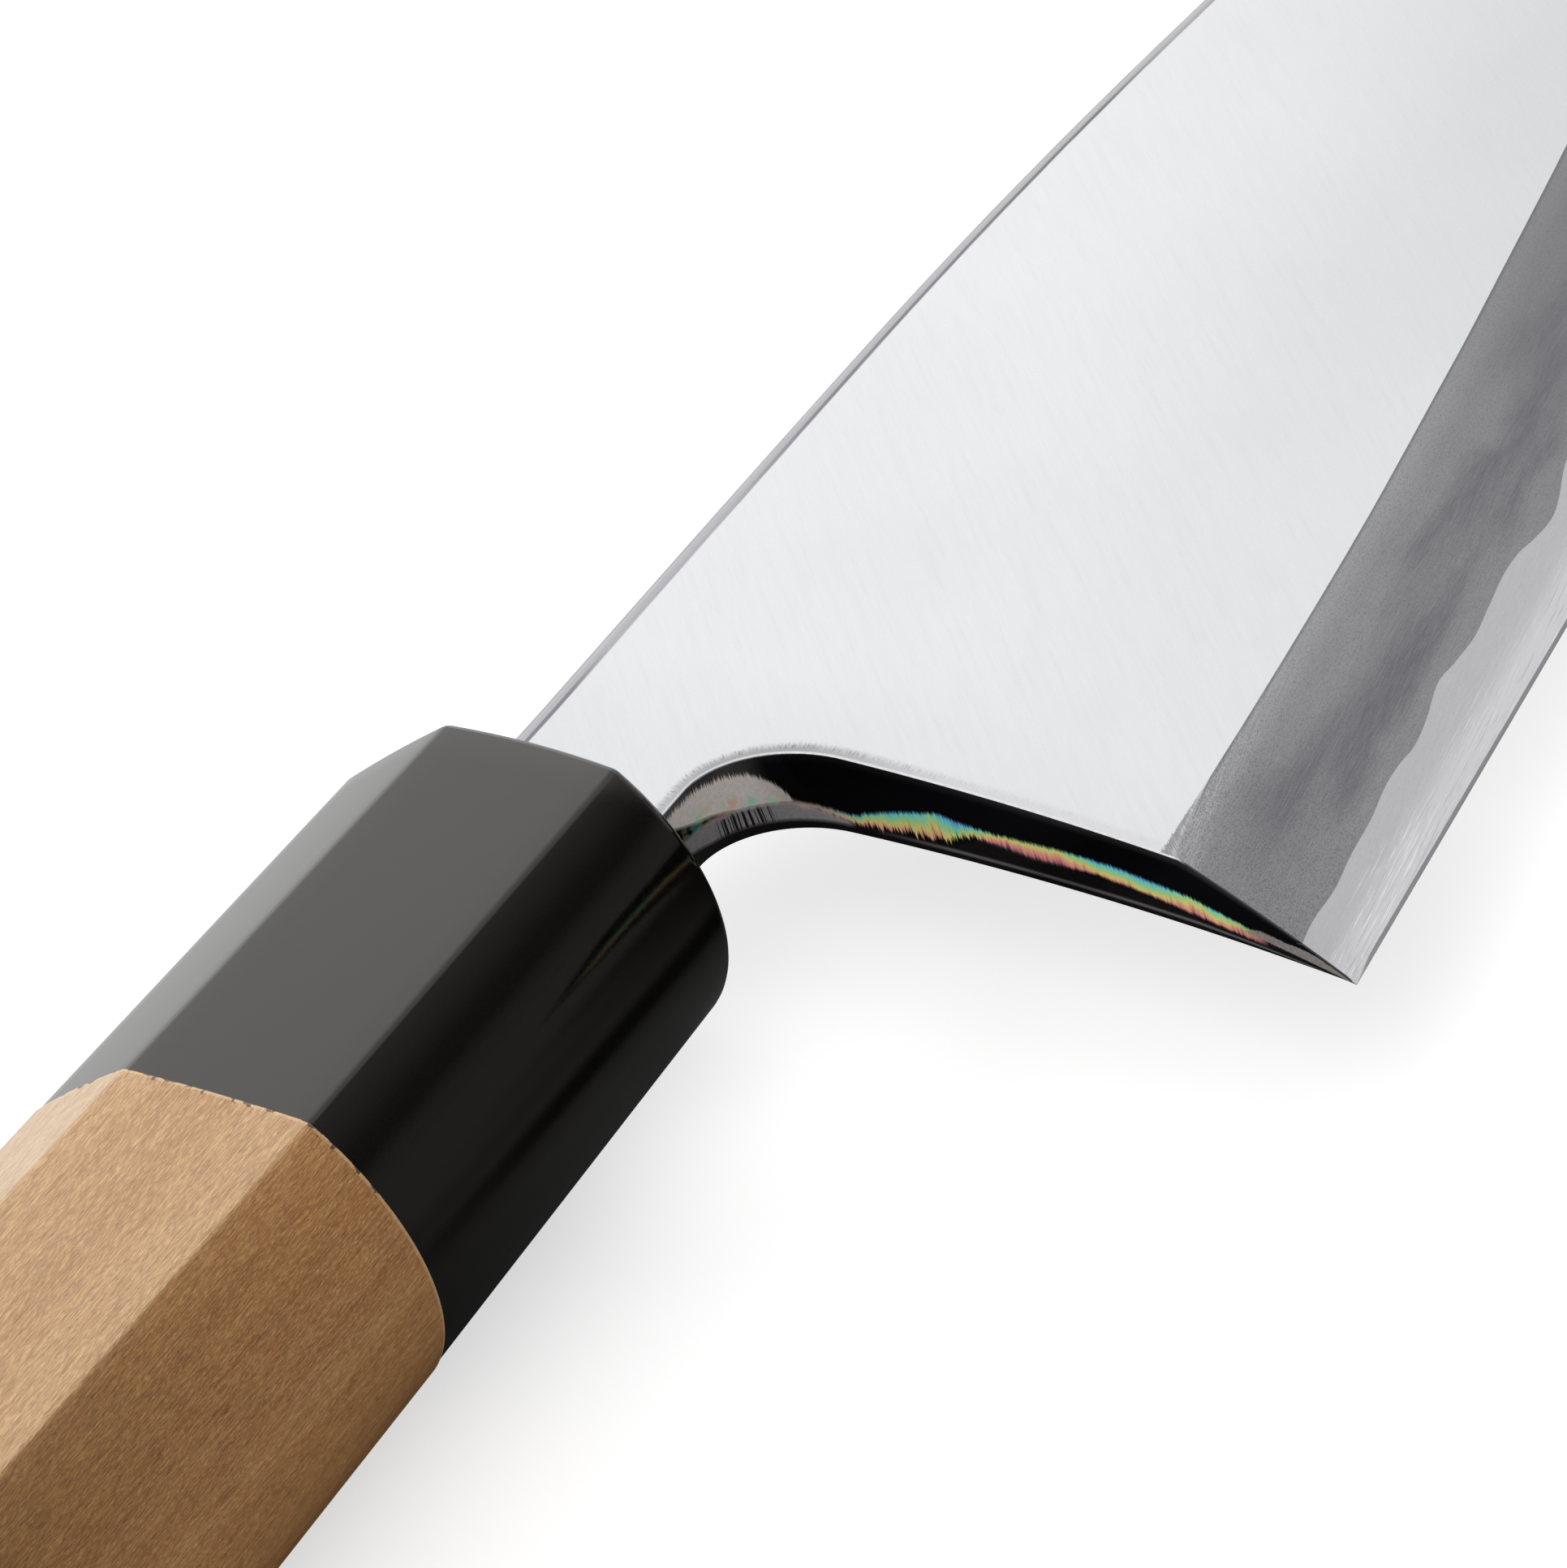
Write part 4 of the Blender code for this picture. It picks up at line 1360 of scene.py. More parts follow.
# %% Tang and slots
TANG_LENGTH = 95.0
TANG_FRONT = (9.5, 5.0)
TANG_END = (6.0, 3.0)
TANG_DROP = 0.5
TANG_LIFT = 0.4
IRON_SLOTS = ["flat", "bevel", "spine", "heel", "arris", "back", "tang"]
STEEL_SLOTS = ["steel", "micro", "heel", "rim", "hollow", "spine", "weld", "arris"]
SHOULDER_STEP = 0.01
BLADE_SHARP_ANGLE = 25
PATH_STEPS = 90
FAR_AWAY = 20.0
HEEL_REACH = 30
STRIP_REACH = 16
STRIP_FAR = -40.0
NUMBERS = ("from_heel", "heel_along", "heel_across", "bevel_share", "strip_share", "spine_turn")


def tang_row(points, x, size):
    height, thickness = size
    row = []
    for point in points:
        y = clamp(point.y + TANG_DROP, -height / 2, height / 2) - TANG_DROP
        z = clamp(point.z - TANG_LIFT, -thickness / 2, thickness / 2) + TANG_LIFT
        row.append(Vector((x, y, z)))
    return row


print("tang", TANG_LENGTH, "mm long")

# %% [markdown]
# ### Numbers that the mesh carries
# A shader only knows where a point is. So the script works out what the finishes need to know and
# stores it on the points: how far along the heel path, how high on the heel face, how far up the
# bevel, how far round the spine. The shader blends these numbers across each face.

# %% Numbers for the materials
def path_lengths(steps):
    """Points along the heel path with the distance walked to each of them."""
    points = [heel_path(3 * step / steps, 0)[0] for step in range(steps + 1)]
    walked = [0.0]
    for first, second in zip(points, points[1:]):
        walked.append(walked[-1] + (second - first).length)
    return points, walked


def nearest_on_path(plan, points, walked):
    """Distance from a place in plan to the heel path, and how far along the path it is."""
    best = (FAR_AWAY, 0.0)
    for i in range(len(points) - 1):
        step = points[i + 1] - points[i]
        share = clamp((plan - points[i]).dot(step) / step.length_squared)
        away = (plan - points[i] - step * share).length
        if away < best[0]:
            best = (away, walked[i] + share * step.length)
    return best


def numbers_at(x, y, z, path, walked):
    """The numbers of one point, in the order of NUMBERS."""
    away, along = FAR_AWAY, 0.0
    if x < HEEL_REACH:
        away, along = nearest_on_path(Vector((x, y)), path, walked)
    height = face_z(x, y) - BACK_Z if x > 0 else SPINE_THICKNESS
    edge, ridge, smooth_ridge = edge_y(x), shinogi_y(x), smooth_ridge_y(x)
    strip = STRIP_FAR
    if x < STRIP_REACH:
        strip = (smooth_ridge - y) / max(0.02, smooth_ridge - ridge)
    across = clamp((z - BACK_Z) / max(0.3, height))
    on_bevel = clamp((y - edge) / max(0.05, ridge - edge), -0.5, 1.5)
    spine_turn = min(1.0, (y - spine_y(x)) / spine_round(x) + 1)
    return away, along, across, on_bevel, clamp(strip, STRIP_FAR), spine_turn


def blade_numbers(mesh):
    """Numbers for the materials: places on the heel face, on the bevel and round the spine."""
    path, walked = path_lengths(PATH_STEPS)
    rows = [numbers_at(*((vert.co - ORIGIN) / MM), path, walked) for vert in mesh.vertices]
    for name, numbers in zip(NUMBERS, zip(*rows)):
        mesh.attributes.new(name, "FLOAT", "POINT").data.foreach_set("value", numbers)


print("numbers on each point:", ", ".join(NUMBERS))

# %% [markdown]
# ### Skinning the two layers
# Each layer takes its half of every ring. The tang belongs to the iron alone. The steel starts at
# the ring in front of the first one that has a weld.

# %% Iron body and steel layer
def iron_body():
    rows = []
    for iron, _ in rings:
        points, names = columns(iron)
        rows.append(points)
    tang = [
        tang_row(rows[0], -TANG_LENGTH, TANG_END),
        tang_row(rows[0], NECK_START - SHOULDER_STEP, TANG_FRONT),
    ]
    shape = skin(tang + rows, names, IRON_SLOTS)
    for face in shape.faces:
        if face.calc_center_median().x < NECK_START:
            face.material_index = IRON_SLOTS.index("tang")
    materials = [FLAT, IRON_BEVEL, SPINE, HEEL, ARRIS, BACK, TANG]
    piece = finish_piece("blade_body", shape, materials, BLADE_SHARP_ANGLE)
    blade_numbers(piece.data)
    return piece


def steel_layer():
    """The hard layer. Over the heel its second bevel turns into the small rounded corner."""
    first = next(i for i, station in enumerate(stations) if station["steel"] > 0) - 1
    rows = []
    for _, steel in rings[first:]:
        points, names = columns(steel)
        rows.append(points)
    shape = skin(rows, names, STEEL_SLOTS)
    micro, arris = STEEL_SLOTS.index("micro"), STEEL_SLOTS.index("arris")
    for face in shape.faces:
        middle = face.calc_center_median()
        over_edge = middle.y - edge_y(middle.x)
        if face.material_index == micro and over_edge > HEEL_CORNER_ROUND + MICRO_WIDTH:
            face.material_index = arris
    materials = [STEEL_BEVEL, MICRO_BEVEL, HEEL, RIM, HOLLOW, SPINE, WELD, ARRIS]
    piece = finish_piece("edge_layer", shape, materials, BLADE_SHARP_ANGLE)
    blade_numbers(piece.data)
    return piece


blade_body = iron_body()
edge_layer = steel_layer()

# %% [markdown]
# ## The half-octagonal section of the handle
# Handle and ferrule share one section: a narrow flat on the spine side, two chamfers, two side
# flats and a round belly, so the hand feels where the edge is. A belt sander leaves the flats very
# slightly crowned. The section is drawn once, with its corners a tenth of a millimetre round.

# %% Handle section
JOINT_HEIGHT = 28.2
JOINT_WIDTH = 20.1
SPINE_FLAT_WIDTH = 7.3
CHAMFER_HEIGHT = 10.3
SIDE_FLAT_HEIGHT = 13.8
EDGE_SOFTNESS = 0.32
CORNER_CURVE = 4
FLAT_POINTS = 8
BELLY_POINTS = 40


def crowned(start, end, crown, count):
    """Points from start to end on a slightly crowned line, without the last one."""
    outward = Vector((-(end.y - start.y), end.x - start.x)).normalized()
    points = []
    for step in range(count):
        share = step / count
        points.append(start.lerp(end, share) + outward * crown * 4 * share * (1 - share))
    return points


def corner_curve(before, corner, after):
    """Soft corner from one point to another, without its two ends."""
    points = []
    for step in range(1, CORNER_CURVE):
        t = step / CORNER_CURVE
        points.append(before.lerp(corner, t).lerp(corner.lerp(after, t), t))
    return points


def handle_outline(crown):
    """Closed outline in (y, z), from the first side flat round over the spine and the belly."""
    top = JOINT_HEIGHT / 2
    half = JOINT_WIDTH / 2
    shoulder = top - CHAMFER_HEIGHT
    ridge = shoulder - SIDE_FLAT_HEIGHT
    sag = ridge + top
    radius = (half ** 2 + sag ** 2) / (2 * sag)
    sweep = math.asin(half / radius)
    flat = SPINE_FLAT_WIDTH / 2
    corners = [Vector(pair) for pair in (
        (ridge, half), (shoulder, half), (top, flat), (top, -flat), (shoulder, -half), (ridge, -half))]

    def belly(angle):
        return Vector((radius - top - radius * math.cos(angle), radius * math.sin(angle)))

    trim = EDGE_SOFTNESS / radius
    runs = []
    for start, end in zip(corners, corners[1:]):
        along = (end - start).normalized() * EDGE_SOFTNESS
        run = crowned(start + along, end - along, crown, FLAT_POINTS)
        runs.append(run + [end - along])
    angles = [(sweep - trim) * (2 * step / BELLY_POINTS - 1) for step in range(BELLY_POINTS + 1)]
    runs.append([belly(angle) for angle in angles])
    points = []
    for i, run in enumerate(runs):
        following = runs[(i + 1) % len(runs)]
        points += run + corner_curve(run[-1], corners[(i + 1) % len(corners)], following[0])
    return points


def section_row(x, height, width, crown=0.0, inset=0.0):
    """Ring of the handle at x, with the outline scaled to height and width and drawn in by inset."""
    tall = (height - 2 * inset) / JOINT_HEIGHT
    wide = (width - 2 * inset) / JOINT_WIDTH
    row = [Vector((x, point.x * tall, point.y * wide)) for point in handle_outline(crown)]
    return row + [row[0].copy()]


print("handle outline has", len(handle_outline(0.2)), "points")

# %% [markdown]
# ## The horn ferrule
# Buffalo horn is bored, glued to the wood and ground together with it. Its front is domed and its
# rim rounded by hand. The slot for the neck and the bores for dowel and tang are cut with exact
# Booleans, because they keep the walls flat. Their cutters are removed afterwards.

# %% Boolean helpers
TANG_ROOM = 0.3
BORE_SEGMENTS = 64


def cut_away(shape, cutters):
    """Subtract closed bmeshes from a closed bmesh."""
    work = mesh_object("work", shape)
    used = [mesh_object("cutter", cutter) for cutter in cutters]
    for thing in used:
        modifier = work.modifiers.new("cut", "BOOLEAN")
        modifier.operation = "DIFFERENCE"
        modifier.solver = "EXACT"
        modifier.object = thing
    bpy.context.view_layer.update()
    result = bmesh.new()
    result.from_object(work, bpy.context.evaluated_depsgraph_get())
    for thing in used + [work]:
        bpy.data.objects.remove(thing, do_unlink=True)
    return result


def block(low, high):
    """Box between two corners."""
    shape = bmesh.new()
    bmesh.ops.create_cube(shape, size=1.0)
    for vert in shape.verts:
        vert.co = Vector(low[i] if vert.co[i] < 0 else high[i] for i in range(3))
    return shape


def tang_block(front):
    """The tapering space of the tang, with a little room."""
    shape = bmesh.new()
    bmesh.ops.create_cube(shape, size=1.0)
    for vert in shape.verts:
        size, x = (TANG_END, -TANG_LENGTH - TANG_ROOM) if vert.co.x < 0 else (TANG_FRONT, front)
        vert.co = Vector((
            x,
            math.copysign(size[0] / 2 + TANG_ROOM, vert.co.y) - TANG_DROP,
            math.copysign(size[1] / 2 + TANG_ROOM, vert.co.z) + TANG_LIFT,
        ))
    return shape


def bore(start, end, diameter):
    """Round rod along the handle, from start to end."""
    shape = bmesh.new()
    radius = diameter / 2
    bmesh.ops.create_cone(
        shape, cap_ends=True, segments=BORE_SEGMENTS, radius1=radius, radius2=radius, depth=end - start)
    upright = Matrix.Rotation(math.pi / 2, 3, "Y")
    bmesh.ops.rotate(shape, verts=shape.verts, cent=(0, 0, 0), matrix=upright)
    bmesh.ops.translate(shape, verts=shape.verts, vec=((start + end) / 2, 0, 0))
    return shape


print("Boolean helpers ready")

# %% [markdown]
# ### Shaping and polishing the horn
# The ferrule is the handle's section drawn forward, a little smaller at its front. Rings of the
# same section close it with the rounded rim and the low dome. The finish is nearly black with
# faint hairlines, and its reflections are tinted a little warm, as horn does.

# %% Ferrule
FERRULE_LENGTH = 30.0
FRONT_HEIGHT = 27.1
FRONT_WIDTH = 19.1
FRONT_ROUND = 0.7
FRONT_REACH = 1.4
FRONT_DOME = 0.0065
FERRULE_CROWN = 0.04
DOWEL_BORE = 15.6
DOWEL_IN_FERRULE = 22.0
DOWEL_IN_WOOD = 18.3
NECK_ROOM = 0.08
BORE_OVERRUN = 2
HORN_ROWS = 14
FRONT_STEPS = 6
FRONT_SHARES = (0.9, 0.75, 0.55, 0.3, 0.0)
HANDLE_SHARP_ANGLE = 12
HORN_IOR = 1.58
HORN_TINT = (1.0, 0.955, 0.88, 1.0)


def dome(point):
    """Front of the ferrule at a place of its section, in front of the knife's origin."""
    return FRONT_REACH - FRONT_DOME * (point.y ** 2 + point.z ** 2)


def front_row(share, inset, back):
    """Ring on the domed front: share of the section's size, drawn in by inset, set back by back."""
    row = section_row(0.0, FRONT_HEIGHT * share, FRONT_WIDTH * share, FERRULE_CROWN * share, inset)
    for point in row:
        point.x = dome(point) - back
    return row


def one_finish(rows, name):
    """Skin with a single slot."""
    return skin(rows, [name] * (len(rows[0]) - 1), [name])


def ferrule_shape():
    rows = []
    rim = front_row(1.0, 0.0, FRONT_ROUND)
    for step in range(HORN_ROWS + 1):
        share = step / HORN_ROWS
        height = JOINT_HEIGHT + (FRONT_HEIGHT - JOINT_HEIGHT) * share
        width = JOINT_WIDTH + (FRONT_WIDTH - JOINT_WIDTH) * share
        row = section_row(0.0, height, width, FERRULE_CROWN)
        for point, front in zip(row, rim):
            point.x = -FERRULE_LENGTH + (FERRULE_LENGTH + front.x) * share
        rows.append(row)
    for sine, cosine in quarter(FRONT_STEPS)[1:]:
        rows.append(front_row(1.0, FRONT_ROUND * (1 - cosine), FRONT_ROUND * (1 - sine)))
    for share in FRONT_SHARES:
        rows.append(front_row(share, FRONT_ROUND * share, 0.0))
    return one_finish(rows, "horn")


def make_ferrule(materials):
    neck_top = face_z(NECK_START, SPINE_HEIGHT) + NECK_ROOM
    pocket = block(
        (NECK_START - NECK_ROOM, -NECK_DROP - NECK_ROOM, BACK_Z - NECK_ROOM),
        (FRONT_REACH + 1.0, SPINE_HEIGHT + NECK_ROOM, neck_top),
    )
    dowel_hole = bore(-FERRULE_LENGTH - BORE_OVERRUN, -FERRULE_LENGTH + DOWEL_IN_FERRULE, DOWEL_BORE)
    shape = cut_away(ferrule_shape(), [pocket, dowel_hole, tang_block(0.0)])
    return finish_piece("horn_ferrule", shape, materials, HANDLE_SHARP_ANGLE)


def make_horn():
    material, tree, shader = new_material("polished black horn")
    hairlines = streaks(knife_place(tree, 58), 6.0, 0.12, detail=4.0, contrast=2.4)
    patches = clouds(knife_place(tree), 9.0, contrast=1.6)
    tone = blend(hairlines, screen(5, 5, 5), screen(17, 15, 14))
    tone = blend(times(patches, 0.4), tone, screen(11, 10, 9))
    coat(shader, tone, remap(hairlines, 0.3, 0.9, 0.06, 0.13), 0.0)
    shader.inputs["IOR"].default_value = HORN_IOR
    shader.inputs["Specular Tint"].default_value = HORN_TINT
    relief(shader, 0.25, 0.002, hairlines)
    return material


HORN = make_horn()
horn_ferrule = make_ferrule([HORN])

# %% [markdown]
# ## The wooden handle
# The wood is a plain, close-grained one, such as magnolia or chestnut, sanded smooth but not
# varnished. Its grain runs along the handle: soft bands a few millimetres wide, fine fibres that
# curl a little to both sides, and short dark pores. The round belly carries painted shade, most on
# its upper half and further behind the horn, and the rest of the wood a little painted shade behind
# the joint. The spine's chamfers and flat are painted paler as painted light, the rounded rim at
# the joint carries a painted highlight, and tiny chips along the joint show the dark glue line.

# %% Wooden shape
HANDLE_LENGTH = 137.0
BUTT_HEIGHT = 29.6
BUTT_WIDTH = 23.8
BUTT_ROUND = 1.6
WOOD_PROUD = 0.1
JOINT_GAP = 0.03
JOINT_ROUND = 0.12
WOOD_CROWN = 0.15
BUTT_STEPS = 8
WOOD_ROWS = 40
CROWN_ROWS = 20
JOINT_STEPS = 3
BELLY_SHADE_TINT = (0.99, 0.86, 0.70, 1.0)
GRADED_SHADE_TINT = (0.56, 0.54, 0.40, 1.0)
WOOD_SHINE = 0.7


def wood_size(x):
    share = (x + HANDLE_LENGTH) / (HANDLE_LENGTH - FERRULE_LENGTH)
    height = BUTT_HEIGHT + (JOINT_HEIGHT + 2 * WOOD_PROUD - BUTT_HEIGHT) * share
    width = BUTT_WIDTH + (JOINT_WIDTH + 2 * WOOD_PROUD - BUTT_WIDTH) * share
    return height, width


def wood_row(x, size_x, crown=0.0, inset=0.0):
    """Ring of the wooden part at x, with the size that the taper has at size_x."""
    height, width = wood_size(size_x)
    return section_row(x, height, width, crown, inset)


def wood_shape():
    joint = -FERRULE_LENGTH - JOINT_GAP
    start = -HANDLE_LENGTH + BUTT_ROUND
    rows = []
    for sine, cosine in quarter(BUTT_STEPS):
        x = -HANDLE_LENGTH + BUTT_ROUND * (1 - cosine)
        rows.append(wood_row(x, start, inset=BUTT_ROUND * (1 - sine)))
    for step in range(1, WOOD_ROWS + 1):
        x = start + (joint - JOINT_ROUND - start) * step / WOOD_ROWS
        rows.append(wood_row(x, x, WOOD_CROWN * min(1.0, step / CROWN_ROWS)))
    for sine, cosine in quarter(JOINT_STEPS)[1:]:
        x = joint - JOINT_ROUND + JOINT_ROUND * sine
        rows.append(wood_row(x, joint, WOOD_CROWN, JOINT_ROUND * (1 - cosine)))
    return one_finish(rows, "wood")


print("wood is", wood_size(-HANDLE_LENGTH)[0], "mm high at the butt")

# %% [markdown]
# ### The look of the wood
# Each layer of the grain is a streak of its own length and width, laid over the last one: bands,
# blotches, lines, curls, fibres and pores. The painted shade is multiplied in, as a stain does it,
# so that the grain stays visible.

# %% Wood finish
def wood_marks(tree, place):
    """The streaks of the grain, from broad to fine."""
    return SimpleNamespace(
        bands=streaks(place, 60.0, 2.4, detail=3.0, contrast=2.4),
        blotches=streaks(place, 9.0, 2.2, detail=3.0, contrast=2.4),
        fibres=streaks(place, 1.7, 0.08, detail=5.0, contrast=2.8),
        left_curl=streaks(knife_place(tree, 12), 0.45, 0.08, detail=3.0, contrast=2.8),
        right_curl=streaks(knife_place(tree, -11), 0.6, 0.08, detail=3.0, contrast=2.8),
        lines=streaks(place, 30.0, 0.22, detail=3.0, contrast=2.6),
        pores=streaks(place, 0.8, 0.055, detail=2.0, contrast=3.4),
    )


def wood_grain(marks, across):
    tone = blend(marks.bands, screen(185, 131, 75), screen(206, 161, 104))
    tone = blend(remap(marks.blotches, 0.2, 0.6, 0.20, 0.0), tone, screen(176, 124, 74))
    tone = blend(remap(marks.lines, 0.2, 0.8, 0.0, 0.24), tone, screen(232, 196, 142))
    wavy_across = plus(across, centred(marks.blotches, 0.3))
    by_the_edge = times(remap(wavy_across, -5.0, -7.5, smooth=True), remap(wavy_across, -10.4, -10.1))
    tone = blend(times(by_the_edge, 0.30), tone, screen(226, 188, 140))
    # Painted light: the chamfers and the spine flat, which face the light, are painted paler.
    tone = blend(remap(wavy_across, 3.75, 4.35, 0.0, 0.72), tone, screen(242, 222, 190))
    tone = blend(remap(marks.left_curl, 0.1, 0.6, 0.42, 0.0), tone, screen(150, 96, 50))
    tone = blend(remap(marks.right_curl, 0.4, 0.9, 0.0, 0.54), tone, screen(244, 208, 154))
    tone = blend(remap(marks.fibres, 0.15, 0.7, 0.58, 0.0), tone, screen(146, 94, 48))
    return blend(remap(marks.pores, 0.10, 0.30, 0.45, 0.0), tone, screen(100, 62, 36))


def wood_painted_shade(tone, along, across, height):
    """Painted shade: the belly darker, more on its upper half and further behind the joint, and a
    little on the rest.
    """
    edge_line = remap(along, -HANDLE_LENGTH, -FERRULE_LENGTH, -10.50, -10.07)
    on_belly = remap(minus(across, edge_line), 0.03, -0.14)
    # Painted shade: the belly is tinted darker and warmer, and more painted shade grows further behind
    # the joint.
    tone = blend(on_belly, tone, BELLY_SHADE_TINT, mode="MULTIPLY")
    shade_by_height = times(remap(height, 0.0, 8.0), remap(along, -33.0, -60.0, 0.2, 1.0))
    shade_behind_joint = remap(along, -34.0, -44.0, 0.02, 0.13)
    painted_shade = blend_number(on_belly, shade_behind_joint, shade_by_height)
    return blend(painted_shade, tone, GRADED_SHADE_TINT, mode="MULTIPLY")


def wood_joint(tone, place, along, height):
    """A painted highlight on the rounded rim at the joint, and the tiny chips that show the dark glue
    line.
    """
    chips = clouds(place, 0.5, contrast=3.2)
    on_side = remap(height, 4.0, 7.0)
    depth = blend_number(on_side, 0.05, remap(chips, 0.45, 1.0, 0.02, 0.42))
    from_joint = minus(-FERRULE_LENGTH, along)
    # Painted highlight: the pale line on the rounded rim next to the joint.
    tone = blend(remap(from_joint, 0.34, 0.20, 0.0, 0.4), tone, screen(244, 214, 168))
    chipped = remap(minus(from_joint, depth), 0.03, -0.03, 0.0, 0.85)
    return blend(chipped, tone, screen(58, 38, 25))


def make_wood(name):
    material, tree, shader = new_material(name)
    place = knife_place(tree)
    along, across, height = axes(place)
    marks = wood_marks(tree, place)
    tone = wood_painted_shade(wood_grain(marks, across), along, across, height)
    tone = wood_joint(tone, place, along, height)
    coat(shader, tone, remap(marks.fibres, 0.2, 0.8, 0.42, 0.34), 0.0)
    shader.inputs["Specular IOR Level"].default_value = WOOD_SHINE
    relief(shader, 0.4, 0.02, plus(marks.fibres, times(marks.left_curl, 0.5), times(marks.pores, 0.4)))
    return material


def make_handle(materials):
    dowel_hole = bore(-FERRULE_LENGTH - DOWEL_IN_WOOD, -FERRULE_LENGTH + BORE_OVERRUN, DOWEL_BORE)
    shape = cut_away(wood_shape(), [dowel_hole, tang_block(0.0)])
    return finish_piece("wood_handle", shape, materials, HANDLE_SHARP_ANGLE)


WOOD = make_wood("close-grained wood")
wood_handle = make_handle([WOOD])
dowel = frame["nodes"]["dowel"]
dowel.data.materials.clear()
dowel.data.materials.append(make_wood("dowel wood"))

# %% [markdown]
# ## Joining the pieces to the part
# Every piece rides on the one body of the knife and stands for its CAD solid, which is hidden.

# %% Ride and replace
for piece, node, slot in (
    (blade_body, "blade_cladding", "soft_iron"),
    (edge_layer, "edge_steel", "hard_steel"),
    (horn_ferrule, "ferrule", "horn"),
    (wood_handle, "handle_body", "handle_wood"),
):
    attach(piece, "root")
    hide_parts(node)
    print(piece.name, "stands for", node)

# %% [markdown]
# ## The table
# The knife lies on a white table that should fade into a white background, with only a soft shadow
# under the steel. So its surface glows a little for the camera. The glow grows along the blade and
# has a small pool under the notch: painted light that lightens the shadow there. Mirror-polished
# steel and black horn take their look from what they reflect, and here they would reflect nothing
# but white. So rays that leave a glossy surface meet a darker, banded table on the edge side of the
# knife, as if the studio were dark there.

# %% Floor
WHITE = (1, 1, 1, 1)
FLOOR_SIZE = 6.0
FLOOR_TONE = 0.54
FLOOR_GLOW = 0.63
BLADE_PAINTED_LIGHT = 0.78
NOTCH_PAINTED_LIGHT = 0.11
NOTCH_ON_FLOOR = (-2.0, -12.0, -11.9)
MIRRORED_GLOW = 0.22
NECK_GLOOM = 0.12
SPINE_BEHIND = (2.0, 14.0)
BAND_SLANT = 0.19
GLOOM_BANDS = (
    (-60.0, 0.20), (-43.0, 0.20), (-34.0, 0.15), (-27.5, 0.17), (-23.8, 0.02), (-21.0, 0.02),
    (-18.8, 0.15), (-15.0, 0.24),
)
GLOOM_ENDS = (-26.0, -8.0)
PAINTED_LIGHT_ENDS = (6.0, 30.0)
NOTCH_REACH = (3.0, 18.0)


def make_floor():
    shape = bmesh.new()
    bmesh.ops.create_grid(shape, x_segments=1, y_segments=1, size=FLOOR_SIZE / 2)
    floor = mesh_object("white_table", shape)
    material, tree, shader = new_material("white table")
    shader.inputs["Roughness"].default_value = 0.9
    shader.inputs["Specular IOR Level"].default_value = 0.0
    rays = add(tree, "ShaderNodeLightPath")
    place = knife_place(tree)
    x, y, _ = axes(place)
    mirrored = times(rays.outputs["Is Glossy Ray"], remap(y, *SPINE_BEHIND))
    shaded = minus(rays.outputs["Is Glossy Ray"], mirrored)
    banded = profile(minus(y, times(x, BAND_SLANT)), -60.0, 0.0, GLOOM_BANDS)
    gloom = blend_number(remap(x, *GLOOM_ENDS), NECK_GLOOM, banded)
    tone = blend(shaded, (FLOOR_TONE, FLOOR_TONE, FLOOR_TONE, 1), gloom)
    tree.links.new(tone, shader.inputs["Base Color"])
    # Painted light: a pool of extra glow under the notch and more glow along the blade lighten the
    # shadow there.
    from_notch = vector_math("DISTANCE", place, NOTCH_ON_FLOOR, "Value")
    painted_light_pool = remap(from_notch, *NOTCH_REACH, NOTCH_PAINTED_LIGHT, 0.0, smooth=True)
    glow_with_painted_light = plus(remap(x, *PAINTED_LIGHT_ENDS, FLOOR_GLOW, BLADE_PAINTED_LIGHT), painted_light_pool)
    in_view = times(rays.outputs["Is Camera Ray"], glow_with_painted_light)
    strength = plus(in_view, times(mirrored, MIRRORED_GLOW))
    glow = add(tree, "ShaderNodeEmission", {"Color": WHITE, "Strength": strength})
    both = add(tree, "ShaderNodeAddShader", {0: shader.outputs[0], 1: glow.outputs[0]})
    tree.links.new(both.outputs[0], tree.nodes["Material Output"].inputs["Surface"])
    floor.data.materials.append(material)
    return floor


floor = make_floor()
print("floor", FLOOR_SIZE, "m wide")

# %% [markdown]
# ## The light
# One large soft light stands behind and above the spine. It gives the pale flat its shine and
# leaves the edge side in a soft shade. The world does this job alone: it is bright on the light's
# side and dim on the other. A narrow dark card with bands stands to the front right, as a
# photographer places one, so that the horn and the mirror heel have something dark to reflect. The
# camera sees the world plain white.

# %% World light
BRIGHT = 1.50
SOFT = 0.50
SOFT_ENDS = (-0.35, 0.85)
CARD_ENDS = ((0.30, 0.50), (0.30, 0.14), (0.80, 0.66))
CARD_BANDS = (
    (-0.1, 0.19), (0.08, 0.19), (0.20, 0.06), (0.32, 0.08), (0.45, 0.19), (0.58, 0.28), (0.9, 0.28),
)
FADING = (
    (0.0, 1.0), (0.12, 1.0), (0.25, 0.81), (0.45, 0.72), (0.62, 0.62), (0.67, 0.73), (0.73, 0.89),
    (0.78, 0.98), (1.0, 1.0),
)
BRIGHT_SIDE = Vector((0.10, 0.82, 0.56)).normalized()
CARD_HEADING = Vector((0.52, -0.854, 0.0)).normalized()
CARD_SIDEWAYS = Vector((0.854, 0.52, 0.0)).normalized()


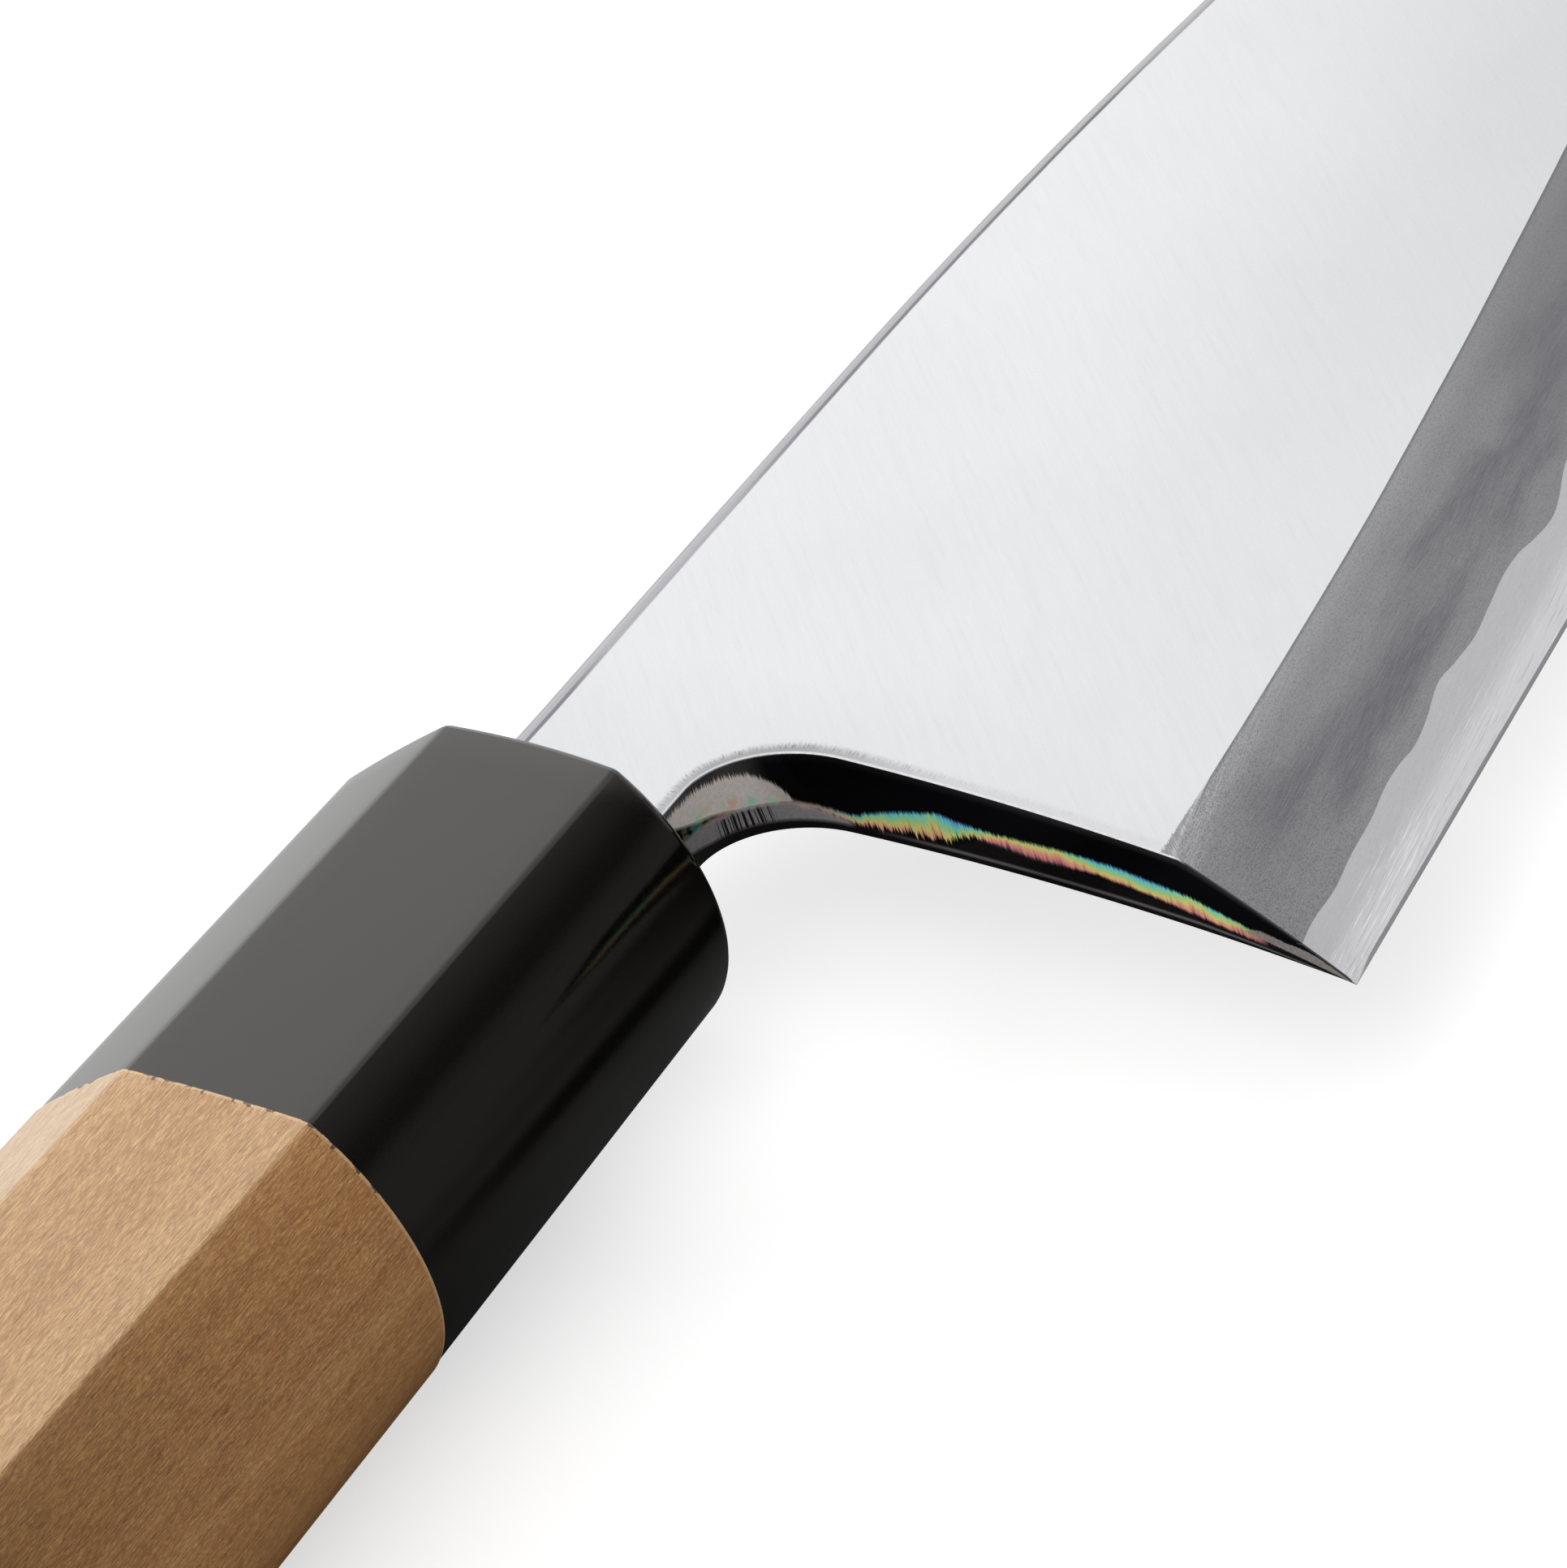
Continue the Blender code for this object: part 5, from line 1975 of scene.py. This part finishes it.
def make_world():
    world = bpy.data.worlds.new("soft studio")
    bpy.context.scene.world = world
    world.use_nodes = True
    tree = world.node_tree
    background = tree.nodes["Background"]
    direction = add(tree, "ShaderNodeTexCoord").outputs["Generated"]
    towards = vector_math("DOT_PRODUCT", direction, tuple(BRIGHT_SIDE), "Value")
    softbox = remap(towards, *SOFT_ENDS, SOFT, BRIGHT, smooth=True)
    x, y, z = axes(direction)
    ahead = vector_math("DOT_PRODUCT", direction, tuple(CARD_HEADING), "Value")
    aside = vector_math("DOT_PRODUCT", direction, tuple(CARD_SIDEWAYS), "Value")
    in_front, beside, overhead = CARD_ENDS
    off_middle = remap(calculate("ABSOLUTE", aside), *beside, smooth=True)
    card = times(remap(ahead, *in_front), off_middle, remap(z, *overhead))
    softbox = times(softbox, profile(minus(x, y), 0.0, 1.0, FADING))
    light = blend_number(card, softbox, profile(z, -0.1, 0.9, CARD_BANDS))
    rays = add(tree, "ShaderNodeLightPath")
    strength = blend_number(rays.outputs["Is Camera Ray"], light, 1.0)
    tree.links.new(strength, background.inputs["Strength"])
    background.inputs["Color"].default_value = WHITE


make_world()
print("world set")

# %% [markdown]
# ## The camera
# A long lens looks from above the butt's end and from the edge side, so that the heel shows. The
# camera's place and its two picture directions are given in the knife's own axes. The third
# direction follows from them, and the three together make the turn of the camera.

# %% Camera
CAMERA_PLACE = Vector((-156.4, -194.5, 190.0))
RIGHT = Vector((0.5413, -0.7902, -0.2873))
DOWN = Vector((-0.6500, -0.1766, -0.7391))
FOCAL_PIXELS = 6500
IMAGE_HEIGHT = 1932
SENSOR = 36.0


def make_camera():
    data = bpy.data.cameras.new("photo camera")
    data.sensor_width = SENSOR
    data.lens = FOCAL_PIXELS * SENSOR / IMAGE_HEIGHT
    data.clip_start = 0.01
    data.clip_end = 20.0
    camera = add_object("photo camera", data)
    right = RIGHT.normalized()
    forward = RIGHT.cross(DOWN).normalized()
    up = forward.cross(right).normalized() * -1
    turn = Matrix((right, up, -forward)).transposed()
    camera.matrix_world = Matrix.Translation(ORIGIN + CAMERA_PLACE * MM) @ turn.to_4x4()
    bpy.context.scene.camera = camera
    return camera


camera = make_camera()
bpy.context.scene.view_settings.view_transform = "Standard"
print("lens", round(camera.data.lens, 1), "mm")
